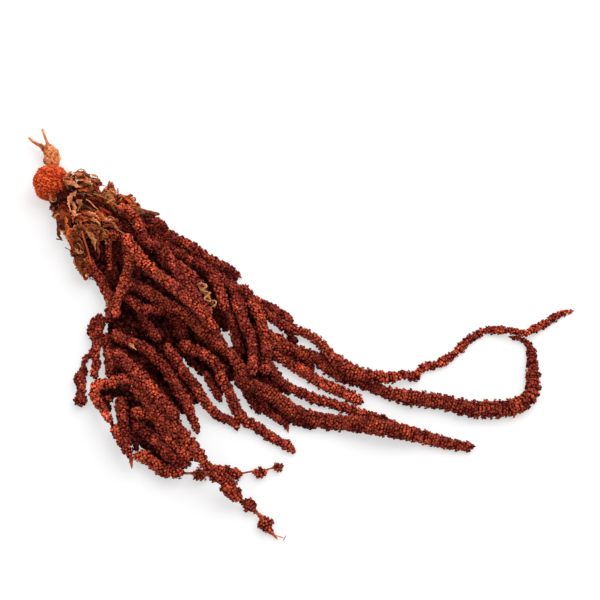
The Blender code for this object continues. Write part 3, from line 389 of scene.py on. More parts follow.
# The stalk: the way that it runs, its papery scales, and where its sheath lies, narrows and reddens
STALK_WAY = np.array([0.64, -0.77, 0.0])
STREAK_STRETCH = 0.22
PAPER_SCALES = 22
SCALE_LENGTHS = (6, 11)
SCALE_WIDTHS = (2.5, 4.5)
SCALE_CRUMPLE = 0.45
SHEATH_RIGHT = -168
SHEATH_LOW = 208
SHEATH_TOP = 231.0
SHEATH_MIDDLE = (-178.0, 229.0)
SHEATH_DRAWN_IN = 3.0
SHEATH_HALF = (8.0, 9.0)
RED_FOLD = np.array([-185.0, 231.0, 10.0])
RED_FOLD_SIZE = 7.5
RED_FOLD_LOSS = np.array([0.22, 0.62, 0.75])


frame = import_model()
rng = np.random.default_rng(SEED)
noise.seed_set(SEED)
NODES = sorted(frame["nodes"])
SPRAYS = [name for name in NODES if name.startswith("under_")]


def welded_shape(name):
    """A CAD node's surface with its corners joined."""
    shape = bmesh.new()
    shape.from_mesh(frame["nodes"][name].data)
    bmesh.ops.remove_doubles(shape, verts=shape.verts, dist=WELD)
    return shape


def welded(name):
    """A CAD node's points in millimetres, its triangles and its points' normals."""
    shape = welded_shape(name)
    shape.verts.index_update()
    shape.normal_update()
    points = np.array([tuple(v.co) for v in shape.verts]) / METRES
    normals = np.array([tuple(v.normal) for v in shape.verts])
    faces = np.array([[v.index for v in f.verts] for f in shape.faces])
    shape.free()
    return points, faces, normals


def joined(parts):
    """The points and the triangles of several parts as one."""
    starts = np.cumsum([0] + [len(part[0]) for part in parts[:-1]])
    faces = [part[1] + start for part, start in zip(parts, starts)]
    return np.vstack([part[0] for part in parts]), np.vstack(faces)


def tree_of(parts):
    """A search tree of several parts' surfaces."""
    points, faces = joined(parts)
    return BVHTree.FromPolygons(points.tolist(), faces.tolist())


SOLIDS = tree_of([welded(name) for name in NODES])


def buried(places):
    """Whether each place lies deep inside a solid, where nothing on it would be seen."""
    inside = []
    for place in places.tolist():
        nearest, normal, _, gap = SOLIDS.find_nearest(place)
        inside.append(gap > HIDDEN_DEPTH and (Vector(place) - nearest).dot(normal) < 0)
    return np.array(inside)


def unit(vectors):
    return vectors / np.maximum(np.linalg.norm(vectors, axis=-1, keepdims=True), 1e-9)


def distance_along(points):
    return np.concatenate([[0], np.cumsum(np.linalg.norm(np.diff(points, axis=0), axis=1))])


def ways(line):
    """Unit vectors along, to the side of and above each point of a nearly level line."""
    ahead = unit(np.gradient(line, axis=0))
    side = unit(np.cross(ahead, [0, 0, 1]))
    return ahead, side, np.cross(side, ahead)


def smooth_line(points, step):
    """Points every step along a smooth curve through the given ones, with all their columns."""
    ends = np.vstack([2 * points[0] - points[1], points, 2 * points[-1] - points[-2]])
    t = np.linspace(0, 1, 8, endpoint=False)[:, None]
    fine = [0.5 * (2 * b + (c - a) * t + (2 * a - 5 * b + 4 * c - d) * t**2
                   + (3 * b - a - 3 * c + d) * t**3)
            for a, b, c, d in zip(ends, ends[1:], ends[2:], ends[3:])]
    fine = np.vstack(fine + [points[-1]])
    along = distance_along(fine[:, :3])
    even = np.linspace(0, along[-1], max(4, round(along[-1] / step) + 1))
    return np.column_stack([np.interp(even, along, column) for column in fine.T])


def ring_line(name):
    """A tassel's middle points and half widths, ring by ring from its root to its tip."""
    points, faces, _ = welded(name)
    near = [set() for _ in points]
    for a, b, c in faces.tolist():
        near[a] |= {b, c}
        near[b] |= {a, c}
        near[c] |= {a, b}
    poles = [v for v, around in enumerate(near)
             if len(around) == 6 and all(len(near[w]) == 5 for w in around)]
    level = [min(poles, key=lambda v: np.linalg.norm(points[v] - CROWN))]
    seen = set(level)
    levels = []
    while level:
        levels.append(level)
        level = sorted({w for v in level for w in near[v]} - seen)
        seen |= set(level)
    centres = np.array([points[ring].mean(axis=0) for ring in levels])
    _, side, up = ways(centres)
    widths = []
    for k, ring in enumerate(levels):
        off = points[ring] - centres[k]
        widths.append(np.hypot(off @ side[k], off @ up[k] / TASSEL_FLATNESS).max())
    return np.column_stack([centres, widths])


class Cord:
    """A smooth middle line with half widths, read at any distance from its root."""

    def __init__(self, points):
        fine = smooth_line(np.asarray(points, float), LINE_STEP)
        self.line = fine[:, :3]
        self.width = np.maximum(fine[:, 3], 0)
        self.along = distance_along(self.line)
        self.length = self.along[-1]
        self.ways = ways(self.line)

    def at(self, places):
        """Middle points, half widths, and the ways along, to the side and up at some distances."""
        read = [np.column_stack([np.interp(places, self.along, c) for c in vectors.T])
                for vectors in (self.line, *self.ways)]
        return read[0], np.interp(places, self.along, self.width), *[unit(v) for v in read[1:]]


def clumps(places, angles, look, phases):
    """How far the florets stand out or in, from -1 to 1, at distances and angles on a tassel."""
    turn = math.tau * places / look.length
    return sum(amount * np.sin(pace * turn + twist * angles + phase)
               for (amount, pace, twist), phase in zip(CLUMP_WAVES, phases))


def bud(base, way, length, width, turn):
    """A floret: its points, from its base to its tip."""
    way = unit(np.asarray(way, float))
    side = unit(np.cross(way, [0.3, 0.9, 0.2]))
    up = np.cross(way, side)
    angles = turn + math.tau * np.arange(BUD_SIDES) / BUD_SIDES
    ring = np.cos(angles)[:, None] * side + np.sin(angles)[:, None] * up
    return np.vstack([base, base + way * length * BUD_STEPS[1] + width * ring, base + way * length])


BUD_POINTS = BUD_SIDES + 2
BUD_FACES = np.array([(0, 1 + (k + 1) % BUD_SIDES, 1 + k) for k in range(BUD_SIDES)]
                     + [(BUD_SIDES + 1, 1 + k, 1 + (k + 1) % BUD_SIDES) for k in range(BUD_SIDES)])
BUD_SHADE = np.array([BUD_STEPS[0], *[BUD_STEPS[1]] * BUD_SIDES, BUD_STEPS[2]])


def joined_buds(parts):
    """Several buds as one shape: points, triangles, shade from base to tip, and bud numbers."""
    faces = np.vstack([BUD_FACES + BUD_POINTS * k for k in range(len(parts))])
    numbers = np.repeat(np.arange(len(parts)), BUD_POINTS)
    return np.vstack(parts), faces, np.tile(BUD_SHADE, len(parts)), numbers


def make_cluster(buds):
    """A round cluster of florets, of radius about 1, that is open below: it faces +Z."""
    points, shades = [(0.0, 0.0, 1.0)], [1.0]
    turn = rng.uniform(0, math.tau)
    for row, (tilt, bright, dark) in enumerate(CLUSTER_RINGS):
        for k in range(CLUSTER_SIDES):
            stands = (k + row) % 2 == 0
            angle = turn + math.tau * (k + 0.5 * row + rng.uniform(-0.18, 0.18)) / CLUSTER_SIDES
            lean = math.radians(tilt + rng.uniform(-7, 7))
            far = rng.uniform(*(STANDING if stands else SUNKEN))
            flat = far * math.sin(lean)
            points.append((flat * math.cos(angle), flat * math.sin(angle), far * math.cos(lean)))
            # Sunken corners and the lower ring get darker shades: painted shade in the cluster's hollows
            # and underside
            shades.append(bright if stands else dark)
    faces = []
    for k in range(CLUSTER_SIDES):
        a, b = 1 + k, 1 + (k + 1) % CLUSTER_SIDES
        c, d = a + CLUSTER_SIDES, b + CLUSTER_SIDES
        faces += [(0, a, b), (a, c, b), (b, c, d)]
    out = []
    for k in range(buds):
        height = rng.uniform(0.25, 0.95)
        around = math.tau * (k + rng.uniform(0, 0.6)) / buds
        flat = math.sqrt(1 - height**2)
        way = np.array([flat * math.cos(around), flat * math.sin(around), height])
        out.append(bud(0.75 * way, way + rng.normal(0, 0.2, 3), rng.uniform(*BUD_LENGTHS),
                       rng.uniform(*BUD_WIDTHS), rng.uniform(0, 3)))
    ends, end_faces, end_shades, end_numbers = joined_buds(out)
    return (np.vstack([points, ends]), np.vstack([faces, end_faces + len(points)]),
            np.concatenate([shades, end_shades]),
            np.concatenate([np.arange(len(points)), end_numbers + len(points)]))


FINE_SHAPES = [make_cluster(FINE.buds) for _ in range(CLUSTER_SHAPES)]
COARSE_SHAPES = [make_cluster(COARSE.buds) for _ in range(CLUSTER_SHAPES)]

# A thin bract that stands out of a cluster, and a short, fat floret of the round head
SPIKES = [joined_buds([bud((0, 0, 0), (0, 0, 1), length=1.45, width=0.13, turn=0)])]
GRAINS = [joined_buds([bud((0, 0, -0.4), (0, 0, 1), length=1.3, width=0.62, turn=0)])]


def florets_of(shapes, places, axes, sizes, warmth, light, across=None, stretch=(1.0, 1.0, 1.0)):
    """Copies of the shapes at places, along axes: points, triangles and colours of one mesh."""
    kinds = rng.integers(0, len(shapes), len(places))
    axes = unit(axes)
    if across is None:
        spin = rng.uniform(0, math.tau, len(places))[:, None]
        first = unit(np.cross(axes, [0.21, 0.34, 0.91]))
        across = np.cos(spin) * first + np.sin(spin) * np.cross(axes, first)
    across = unit(across - (across * axes).sum(axis=1, keepdims=True) * axes)
    third = np.cross(axes, across)
    points, faces, tints, count = [], [], [], 0
    for kind, (shape, triangles, shade, numbers) in enumerate(shapes):
        chosen = np.nonzero(kinds == kind)[0]
        if not len(chosen):
            continue
        wide, deep, tall = (shape * stretch).T[:, None, :, None]
        turned = (wide * across[chosen, None] + deep * third[chosen, None]
                  + tall * axes[chosen, None])
        points.append((places[chosen, None] + turned * sizes[chosen, None, None]).reshape(-1, 3))
        starts = np.arange(len(chosen)) * len(shape) + count
        faces.append((triangles[None] + starts[:, None, None]).reshape(-1, 3))
        buds = (len(chosen), numbers.max() + 1)
        own_light = rng.uniform(*BUD_LIGHTS, buds)[:, numbers] * light[chosen, None]
        own_warmth = warmth[chosen, None] + rng.uniform(-BUD_WARMTH, BUD_WARMTH, buds)[:, numbers]
        tints.append(floret_colour(np.tile(shade, (len(chosen), 1)), own_warmth, own_light))
        count += len(chosen) * len(shape)
    return np.vstack(points), np.vstack(faces), np.vstack(tints)


def floret_colour(shade, warmth, light):
    """Colours along florets from base to tip, by warmth from 0 to 1 and a lightening factor."""
    steps = [np.stack([np.interp(shade, BUD_STEPS, tone[:, k]) for k in range(3)], axis=-1)
             for tone in (COLDEST, MIDDLE, WARMEST)]
    warmth = np.clip(warmth, 0, 1)[..., None]
    cold = np.clip(1 - 2 * warmth, 0, 1)
    warm = np.clip(2 * warmth - 1, 0, 1)
    colour = steps[0] * cold + steps[2] * warm + steps[1] * (1 - cold - warm)
    return (colour * light[..., None]).reshape(-1, 3)


def blend(share, first, second):
    """The first colour where the share is 1, and the second where it is 0."""
    return share * np.array(first) + (1 - share) * np.array(second)


def tube(cord, reach, sides, pitch, colour, bare_colour=BARE_STEM):
    """A closed tube round a middle line, with its radius given by reach(places, angles)."""
    rows = max(4, round(cord.length / pitch) + 1)
    places = np.linspace(0, cord.length, rows)[1:-1]
    middle, width, _, side, up = cord.at(places)
    angles = math.tau * np.arange(sides) / sides
    radius = reach(places[:, None] + 0 * angles, angles + 0 * places[:, None])
    out = (np.cos(angles)[None, :, None] * side[:, None]
           + TASSEL_FLATNESS * np.sin(angles)[None, :, None] * up[:, None])
    body = middle[:, None] + out * radius[:, :, None]
    points = np.vstack([cord.line[:1], body.reshape(-1, 3), cord.line[-1:]])
    bare = np.clip((BARE_RADIUS + 0.6 - width) / 0.8, 0, 1)
    shares = np.concatenate([bare[:1], np.repeat(bare, sides), bare[-1:]])[:, None]
    return points, tube_faces(len(places), sides), blend(shares, bare_colour, colour)


def tube_faces(rows, sides):
    """Triangles of a tube of rings that has a pole at each end, facing out."""
    faces = []
    end = rows * sides + 1
    for i in range(sides):
        after = (i + 1) % sides
        faces += [(0, 1 + after, 1 + i), (end, end - sides + i, end - sides + after)]
    ring = np.arange(sides)
    after = (ring + 1) % sides
    for j in range(rows - 1):
        here, there = 1 + j * sides, 1 + (j + 1) * sides
        faces += np.column_stack([here + ring, here + after, there + ring]).tolist()
        faces += np.column_stack([here + after, there + after, there + ring]).tolist()
    return np.array(faces)


def add_piece(name, parts, slot):
    """One mesh object from parts (points, triangles, colours), standing for the CAD node name."""
    points, faces = joined(parts)
    points[:, 2] = np.maximum(points[:, 2], LOWEST)
    tints = np.vstack([part[2] for part in parts])
    flat = slot.startswith("florets_")
    mesh = bpy.data.meshes.new("dressed_" + name)
    mesh.from_pydata((points * METRES).tolist(), [], faces.tolist(), shade_flat=flat)
    colour = mesh.color_attributes.new("tint", "FLOAT_COLOR", "POINT")
    opaque = np.column_stack([tints, np.ones(len(tints))])
    colour.data.foreach_set("color", opaque.astype(np.float32).ravel())
    mesh.materials.append(DRY_FLORETS if flat else DRY_LEAF)
    piece = bpy.data.objects.new("dressed_" + name, mesh)
    bpy.context.scene.collection.objects.link(piece)
    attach(piece, "root")
    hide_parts(name)


def noise_at(places, length, shift=(0, 0, 0)):
    """A gentle random value from about -0.5 to 0.5 at places."""
    return np.array([noise.noise(Vector(place) / length + Vector(shift)) for place in places.tolist()])


def smooth_noise(places, length):
    """The same, from about -1 to 1."""
    return 2 * noise_at(places, length)


def size_of(width, cluster):
    """The radius of the clusters where a tassel has some half width."""
    return np.minimum(cluster.size, CLUSTER_SHARE * width)


def crest(out):
    """How much lighter the florets on top of a tassel are than those on its sides: painted light and
    shade.
    """
    return CREST_LEAST + CREST_GAIN * (1 + out[:, 2])


def whorls(cord, cluster, width_at):
    """Where clusters sit on a tassel: distances from its root, and angles round it."""
    places, angles = [], []
    whorl, number = WHORL_START, 0
    while whorl < cord.length - WHORL_END:
        width = width_at(whorl)
        ball = size_of(width, cluster)
        if width > BARE_RADIUS:
            girth = math.tau * max(0.9, width - CLUSTER_SUNK * ball)
            count = max(3, round(girth / (cluster.spacing * ball)))
            turn = (np.arange(count) + 0.5 * (number % 2) + rng.uniform(-0.25, 0.25, count)) / count
            angles.append(math.tau * turn)
            places.append(whorl + WHORL_WAVE * np.sin(math.tau * turn + number * 0.7)
                          + rng.uniform(-WHORL_JITTER, WHORL_JITTER, count))
        whorl += cluster.pitch * max(WHORL_LEAST, ball / cluster.size)
        number += 1
    return places, angles


def clad(cord, look, cluster, shapes):
    """A tassel's parts: clusters in whorls round a core dark with painted shade, and a bare stem where it
    is thin.
    """
    phases = rng.uniform(0, math.tau, len(CLUMP_WAVES))

    def width_at(at):
        tip = np.clip((cord.length - at) / TIP_LENGTH, TIP_LEAST, 1) ** 0.5
        return look.reach * np.interp(at, cord.along, cord.width) * tip

    def reach(at, around):
        width = width_at(at)
        full = width * (1 + look.clump * clumps(at, around, look, phases))
        return np.where(width < BARE_RADIUS, BARE_SHARE * width,
                        np.maximum(full - CLUSTER_SUNK * size_of(width, cluster), CORE_LEAST * width))

    places, angles = whorls(cord, cluster, width_at)
    core = tube(cord, lambda at, around: reach(at, around) + CORE_RAISED, CORE_SIDES, CORE_PITCH, CORE)
    if not places:
        return [core]
    places = np.clip(np.concatenate(places), 0.1, cord.length - 0.1)
    angles = np.concatenate(angles)
    middle, width, ahead, side, up = cord.at(places)
    out = np.cos(angles)[:, None] * side + TASSEL_FLATNESS * np.sin(angles)[:, None] * up
    sites = middle + out * (reach(places, angles) + rng.normal(0, JITTER, len(places)))[:, None]
    skipped = (out[:, 2] < BELOW) & (rng.uniform(size=len(sites)) < BELOW_SKIPPED)
    kept = ~(skipped | buried(sites))
    sites, out, width, ahead = sites[kept], out[kept], width[kept], ahead[kept]
    around = np.cross(ahead, out) + rng.normal(0, look.turn, out.shape)
    if not len(sites):
        return [core]
    axes = unit(out) + CLUSTER_LEAN * ahead + rng.normal(0, CLUSTER_TILT, out.shape)
    sizes = size_of(look.reach * width, cluster) * rng.uniform(*CLUSTER_SIZES, len(width))
    # Warmer on top by sun fade and painted light, and lighter on top by painted light, darker on the
    # sides by painted shade
    warmth = (look.warmth + WARM_PATCH * smooth_noise(sites, WARM_PATCH_SIZE)
              + rng.normal(0, WARM_SPREAD, len(width)) + WARM_ON_TOP * out[:, 2])
    light = (look.light * crest(out) * rng.uniform(*CLUSTER_LIGHTS, len(width))
             * (1 + PATCH_SHARE * smooth_noise(sites, PATCH_SIZE)))
    parts = [core, florets_of(shapes, sites, axes, sizes, warmth, light, around, CLUSTER_STRETCH)]
    some = rng.uniform(size=len(sites)) < SPIKE_SHARE
    if some.any():
        tilted = axes + rng.normal(0, SPIKE_TILT, axes.shape)
        parts.append(florets_of(SPIKES, sites[some], tilted[some], sizes[some], warmth[some] + 0.1,
                                light[some]))
    return parts


def strands_of(name, shapes):
    """The extra strands on top of the pile that belong to a tassel or spray."""
    return sum([clad(Cord(line), look, FINE, shapes) for look, line in STRANDS.get(name, [])], [])


def dress_tassel(name):
    """A tassel's own florets, its extra strands, and the bare stem at its end if it has one."""
    look = LOOKS.get(name.removeprefix("tassel_"), RED)
    parts = clad(Cord(ring_line(name)), look, FINE, FINE_SHAPES) + strands_of(name, FINE_SHAPES)
    if look.warmth > BRIGHT_FROM:
        slot = "florets_bright"
    else:
        slot = "florets_dark" if look == DARK else "florets_red"
    add_piece(name, parts + twigs_of(name), slot)


def areas(points, faces):
    """The area of each triangle."""
    corners = points[faces]
    cross = np.cross(corners[:, 1] - corners[:, 0], corners[:, 2] - corners[:, 0])
    return np.linalg.norm(cross, axis=1) / 2


def scattered(points, faces, normals, count):
    """Random places spread evenly over a surface, and the ways out from it there."""
    area = areas(points, faces)
    chosen = faces[rng.choice(len(faces), count, p=area / area.sum())]
    weights = rng.dirichlet((1, 1, 1), count)[:, :, None]
    return (points[chosen] * weights).sum(axis=1), unit((normals[chosen] * weights).sum(axis=1))


# Gaps in the pile: the floor is searched in steps over a field, and a gap of few enough steps is closed
# by a cluster in one of several, at the lowest height that is close enough to a surface
GAP_STEP = 0.6
GAP_FIELD = ((-170.0, 130.0), (-140.0, 190.0))
GAP_LARGEST = 76
GAP_THINNING = 5
GAP_HEIGHTS = np.arange(2.0, 50.0, 1.5)
GAP_CLING = 1.2
GAP_TOO_WIDE = 2.6


def narrow_gaps(tree):
    """Places low in the pile, where the photograph's view would meet the floor in a narrow gap."""
    columns, rows = [np.arange(*span, GAP_STEP) for span in GAP_FIELD]
    way_back = {}
    for i, x in enumerate(columns):
        for j, y in enumerate(rows):
            floor = np.array([x, y, 0.2])
            way = unit(np.array(CAMERA_PLACE) / METRES - floor)
            if not tree.ray_cast(floor, way)[0]:
                way_back[i, j] = floor, way
    places, seen = [], set()
    for start in way_back:
        if start in seen:
            continue
        patch, waiting = [], [start]
        seen.add(start)
        while waiting:
            i, j = waiting.pop()
            patch.append((i, j))
            near = {cell for cell in ((i + 1, j), (i - 1, j), (i, j + 1), (i, j - 1))
                    if cell in way_back and cell not in seen}
            seen |= near
            waiting += sorted(near)
        if len(patch) <= GAP_LARGEST:
            places += [clinging(tree, *way_back[cell]) for cell in patch[::GAP_THINNING]]
    return np.array([place for place in places if place is not None]).reshape(-1, 3)


def clinging(tree, floor, way):
    """The lowest place on a line of sight that is beside some surface, or the one nearest to any."""
    best, least = None, GAP_TOO_WIDE
    for height in GAP_HEIGHTS:
        place = floor + way * height
        gap = tree.find_nearest(Vector(place))[3]
        if gap < GAP_CLING:
            return place
        if gap < least:
            best, least = place, gap
    return best


def gap_owners(places):
    """The spray that is nearest to each of some places."""
    gaps = []
    for name in SPRAYS:
        points, _, _ = welded(name)
        gaps.append(np.linalg.norm(places[:, None] - points[None], axis=2).min(axis=1))
    return np.array(SPRAYS)[np.argmin(gaps, axis=0)]


def spray_parts(name):
    """A spray deep in the pile, dark with painted shade: clusters over its solid, and its short tassels
    in the pile's gaps.
    """
    points, faces, normals = welded(name)
    places, out = scattered(points, faces, normals, round(areas(points, faces).sum() / SPRAY_AREA))
    kept = (out[:, 2] > SPRAY_BELOW) & ~buried(places + 0.5 * out)
    places, out = places[kept], out[kept]
    count = len(places)
    sites = places - SPRAY_SUNK * out
    axes = out + rng.normal(0, 0.3, out.shape)
    warmth = SHADED_DEEP.warmth + 0.2 * smooth_noise(sites, WARM_PATCH_SIZE) + rng.normal(0, 0.08, count)
    sizes = COARSE.size * rng.uniform(0.8, 1.2, count)
    light = SHADED_DEEP.light * rng.uniform(*DEEP_LIGHTS, count)
    # Under the clusters, a near-black copy of the solid, sunk inwards: painted shade deep in the pile
    parts = [florets_of(COARSE_SHAPES, sites, axes, sizes, warmth, light),
             (points - normals, faces, np.tile(COLDEST[0], (len(points), 1)))]
    for height, width, line in TANGLE[name]:
        taper = [SPRAY_TAPER] + [1.0] * (len(line) - 2) + [SPRAY_TAPER]
        cord = Cord([(x, y, height, width * share) for (x, y), share in zip(line, taper)])
        parts += clad(cord, SHADED_DEEP, COARSE, COARSE_SHAPES)
    return parts + strands_of(name, COARSE_SHAPES)


def loose_florets(places):
    """Loose dark clusters at places deep in the pile: painted shade that closes narrow gaps."""
    count = len(places)
    return florets_of(COARSE_SHAPES, places, rng.normal(0, 0.4, (count, 3)) + [0, 0, 1],
                      FINE.size * rng.uniform(0.9, 1.3, count), rng.uniform(0.05, 0.35, count),
                      SHADED_DEEP.light * rng.uniform(*DEEP_LIGHTS, count))


def dress_sprays():
    """The sprays deep in the pile, with loose clusters in the narrow gaps that all else leaves."""
    sprays = {name: spray_parts(name) for name in SPRAYS}
    dressed = [shape_of(piece) for piece in bpy.data.objects if piece.name.startswith("dressed_")]
    gaps = narrow_gaps(tree_of(sum(sprays.values(), []) + dressed))
    owners = gap_owners(gaps)
    for name, parts in sprays.items():
        if (owners == name).any():
            parts.append(loose_florets(gaps[owners == name]))
        add_piece(name, parts, "florets_dark")


def shape_of(piece):
    """A dressed piece's points in millimetres and its triangles."""
    points = np.empty(3 * len(piece.data.vertices))
    piece.data.vertices.foreach_get("co", points)
    faces = np.empty(len(piece.data.loops), dtype=np.int64)
    piece.data.loops.foreach_get("vertex_index", faces)
    return points.reshape(-1, 3) / METRES, faces.reshape(-1, 3)


# The round head: its winding rows, its lumps, the way in which painted shade darkens it, and its florets
KNOB_ROW_PITCH = 3.3
KNOB_ROW_HEIGHT = 0.95
KNOB_ROW_WAY = np.array([0.25, 0.75, 0.55])
KNOB_WINDINGS = ((3.2, 9.0), (1.6, 3.7))
KNOB_LUMP = 0.9
KNOB_LUMP_SIZE = 13.0
KNOB_DARK_WAY = np.array([0.6, -0.5, -0.6])
KNOB_DARK_REACH = 18.0
KNOB_GAP = 1.15
KNOB_TRIES = 9000
KNOB_SIZES = (0.7, 1.1)
KNOB_LIGHTS = (0.9, 1.55)


def knob_rows(points, middle):
    """How high the head's winding rows stand, from -1 in a furrow to 1 on a crest, at points."""
    winding = sum(amount * smooth_noise(points, size) for amount, size in KNOB_WINDINGS)
    rows = (points - middle) @ unit(KNOB_ROW_WAY) + winding
    wave = 0.8 * np.cos(math.tau * rows / KNOB_ROW_PITCH)
    return np.clip(wave + 0.8 * smooth_noise(points, 2.1), -1, 1)


def knob_painted_shade(points, middle):
    """How light the head is at points: painted shade darkens it towards the leaves and its underside."""
    return 1 - 0.55 * np.clip((points - middle) @ unit(KNOB_DARK_WAY) / KNOB_DARK_REACH, 0, 1)


def dress_knob(name):
    """The round head: its solid, drawn into winding rows, with small florets along their crests."""
    points, faces, normals = refined(name, 3)
    middle = (points.min(axis=0) + points.max(axis=0)) / 2
    height = knob_rows(points, middle)
    lumps = smooth_noise(points, KNOB_LUMP_SIZE)
    core = points + normals * (KNOB_ROW_HEIGHT * height + 0.1 + KNOB_LUMP * lumps)[:, None]
    # Furrows are darker than crests, by the florets' deeper tone and painted shade, and the head darkens
    # by painted shade towards its lower side
    share = np.clip(0.45 + 0.75 * height, 0, 1)[:, None] ** 1.5
    tints = blend(share, KNOB_CREST, KNOB_FURROW_TONE_AND_SHADE) * knob_painted_shade(points, middle)[:, None]
    places, out = scattered(points, faces, normals, KNOB_TRIES)
    height = knob_rows(places, middle)
    high = np.nonzero(height > rng.uniform(0.0, 0.7, len(places)))[0]
    kept = high[apart(places[high], KNOB_GAP)]
    places, out, height = places[kept], out[kept], height[kept]
    raised = KNOB_ROW_HEIGHT * height - 0.1 + KNOB_LUMP * smooth_noise(places, KNOB_LUMP_SIZE)
    sites = places + out * raised[:, None]
    count = len(sites)
    warmth = 0.92 + 0.10 * height + 0.10 * smooth_noise(sites, 9.0) + rng.normal(0, 0.05, count)
    axes = out + rng.normal(0, 0.35, out.shape)
    sizes = rng.uniform(*KNOB_SIZES, count)
    light = knob_painted_shade(sites, middle) * rng.uniform(*KNOB_LIGHTS, count)
    buds = florets_of(GRAINS, sites, axes, sizes, warmth, light)
    add_piece(name, [buds, (core, faces, tints)], "florets_knob")


def apart(places, gap):
    """The numbers of places that keep a distance from each other, first come first served."""
    kept, cells = [], {}
    for k, place in enumerate(places):
        x, y, z = cell = tuple((place // gap).astype(int))
        around = [cells.get((x + i, y + j, z + h), []) for i in (-1, 0, 1) for j in (-1, 0, 1)
                  for h in (-1, 0, 1)]
        if all(np.linalg.norm(places[other] - place) > gap for near in around for other in near):
            kept.append(k)
            cells.setdefault(cell, []).append(k)
    return np.array(kept)


def refined(name, levels):
    """A CAD node's surface, rounded and divided finely: points in millimetres, triangles, normals."""
    mesh = bpy.data.meshes.new("refining")
    shape = welded_shape(name)
    shape.to_mesh(mesh)
    shape.free()
    thing = bpy.data.objects.new("refining", mesh)
    bpy.context.scene.collection.objects.link(thing)
    thing.modifiers.new("round", "SUBSURF").levels = levels
    fine = thing.evaluated_get(bpy.context.evaluated_depsgraph_get()).to_mesh()
    fine.calc_loop_triangles()
    points = np.array([tuple(v.co) for v in fine.vertices]) / METRES
    normals = np.array([tuple(v.normal) for v in fine.vertices])
    faces = np.array([tuple(t.vertices) for t in fine.loop_triangles])
    bpy.data.objects.remove(thing, do_unlink=True)
    return points, faces, normals


def crumpled(points, scales, seed, share=1.0):
    """Points moved by soft random vectors: scales are (length, amount) in millimetres."""
    moved = points.copy()
    for length, amount in scales:
        shift = Vector((seed * 7.3, seed * 3.1, length))
        moved += share * amount * np.array([tuple(noise.noise_vector(Vector(p) / length + shift))
                                    for p in points.tolist()])
    return moved


# Crinkled strips: their columns, how their rims curl up, how their light varies across, their sizes,
# and how closely they keep to the solids
STRIP_COLUMNS = np.array([-1.0, 0.0, 1.0])
STRIP_CUP = np.array([0.6, 0.0, 0.6])
STRIP_TONE = np.array([1.25, 0.55, 1.25])
SCALE_TONE = np.array([0.40, 1.15, 0.75])
STRIP_THICKNESS = 0.4
STRIP_STEP = 1.1
CURL_CRUMPLE = 0.45
CURL_SHARE = 0.8
STRIP_CRUMPLES = ((5.0, 2.4), (2.4, 1.0))
STRIP_LENGTHS = (8, 22)
STRIP_WIDTHS = (1.2, 3.2)
STRIP_CRUMPLE = 0.6
STRIP_HUG = 2.2
SCALE_HUG = 0.4
WANDER_STEP = 2.5
WANDER_TURN = 0.38


def strip(draw, line, width, colour, crumple=1.0, tone=STRIP_TONE):
    """A thin crinkled strip along a line, with tapered ends, closed all round."""
    line = smooth_line(np.asarray(line, float), STRIP_STEP)
    ahead, side, up = ways(line)
    rows = len(line)
    share = np.linspace(0, 1, rows)
    turn = draw.uniform(0, math.tau, 5)
    half = 0.5 * width * np.clip(0.35 + 3.5 * share, 0, 1) * np.clip(3.5 * (1 - share), 0.10, 1)
    half *= 1 + 0.28 * np.sin(share * 23 + turn[0]) + 0.16 * np.sin(share * 41 + turn[1])
    angle = 0.9 * np.sin(share * 3.5 + turn[2]) + draw.uniform(-0.6, 0.6)
    flat = np.cos(angle)[:, None] * side + np.sin(angle)[:, None] * up
    tall = np.cross(ahead, flat)
    wave = np.sin(distance_along(line)[:, None] * 2.1 + turn[3] + 2.2 * STRIP_COLUMNS[None])
    lift = (STRIP_CUP[None] + 0.30 * wave * np.abs(STRIP_COLUMNS)[None]) * half[:, None]
    upper = (line[:, None] + STRIP_COLUMNS[None, :, None] * half[:, None, None] * flat[:, None]
             + lift[:, :, None] * tall[:, None])
    upper = crumpled(upper.reshape(-1, 3), STRIP_CRUMPLES, turn[4], crumple).reshape(upper.shape)
    lower = upper - STRIP_THICKNESS * tall[:, None]
    points = np.vstack([upper.reshape(-1, 3), lower.reshape(-1, 3)])
    mottled = (1 + 0.3 * wave) * draw.uniform(0.7, 1.3, upper.shape[:2]) * tone[None]
    tints = np.tile(mottled.reshape(-1), 2)[:, None] * np.array(colour)
    return points, np.array(blade_faces(rows, len(STRIP_COLUMNS))), tints


def blade_faces(rows, columns):
    """Triangles of two like grids joined round their rim, all facing out."""
    back = rows * columns
    faces = []
    for j in range(rows - 1):
        for i in range(columns - 1):
            a = j * columns + i
            b, c, d = a + 1, a + columns + 1, a + columns
            faces += [(a, b, c), (a, c, d)]
            faces += [(back + a, back + c, back + b), (back + a, back + d, back + c)]
    rim = [(i, i + 1) for i in range(columns - 1)]
    rim += [((j + 1) * columns - 1, (j + 2) * columns - 1) for j in range(rows - 1)]
    rim += [(back - 1 - i, back - 2 - i) for i in range(columns - 1)]
    rim += [(j * columns, (j - 1) * columns) for j in range(rows - 1, 0, -1)]
    for a, b in rim:
        faces += [(b, a, back + a), (b, back + a, back + b)]
    return faces


def twig(colour, radius, line):
    """A thin bare stem through some places, closed at its ends."""
    shares = np.linspace(1.0, 0.7, len(line))
    cord = Cord([(*place, radius * share) for place, share in zip(line, shares)])
    return tube(cord, lambda at, around: np.interp(at, cord.along, cord.width), TWIG_SIDES, TWIG_PITCH,
                colour, colour)


def twigs_of(name):
    """The thin bare stems that belong to a piece."""
    return [twig(*values) for values in TWIGS.get(name, [])]


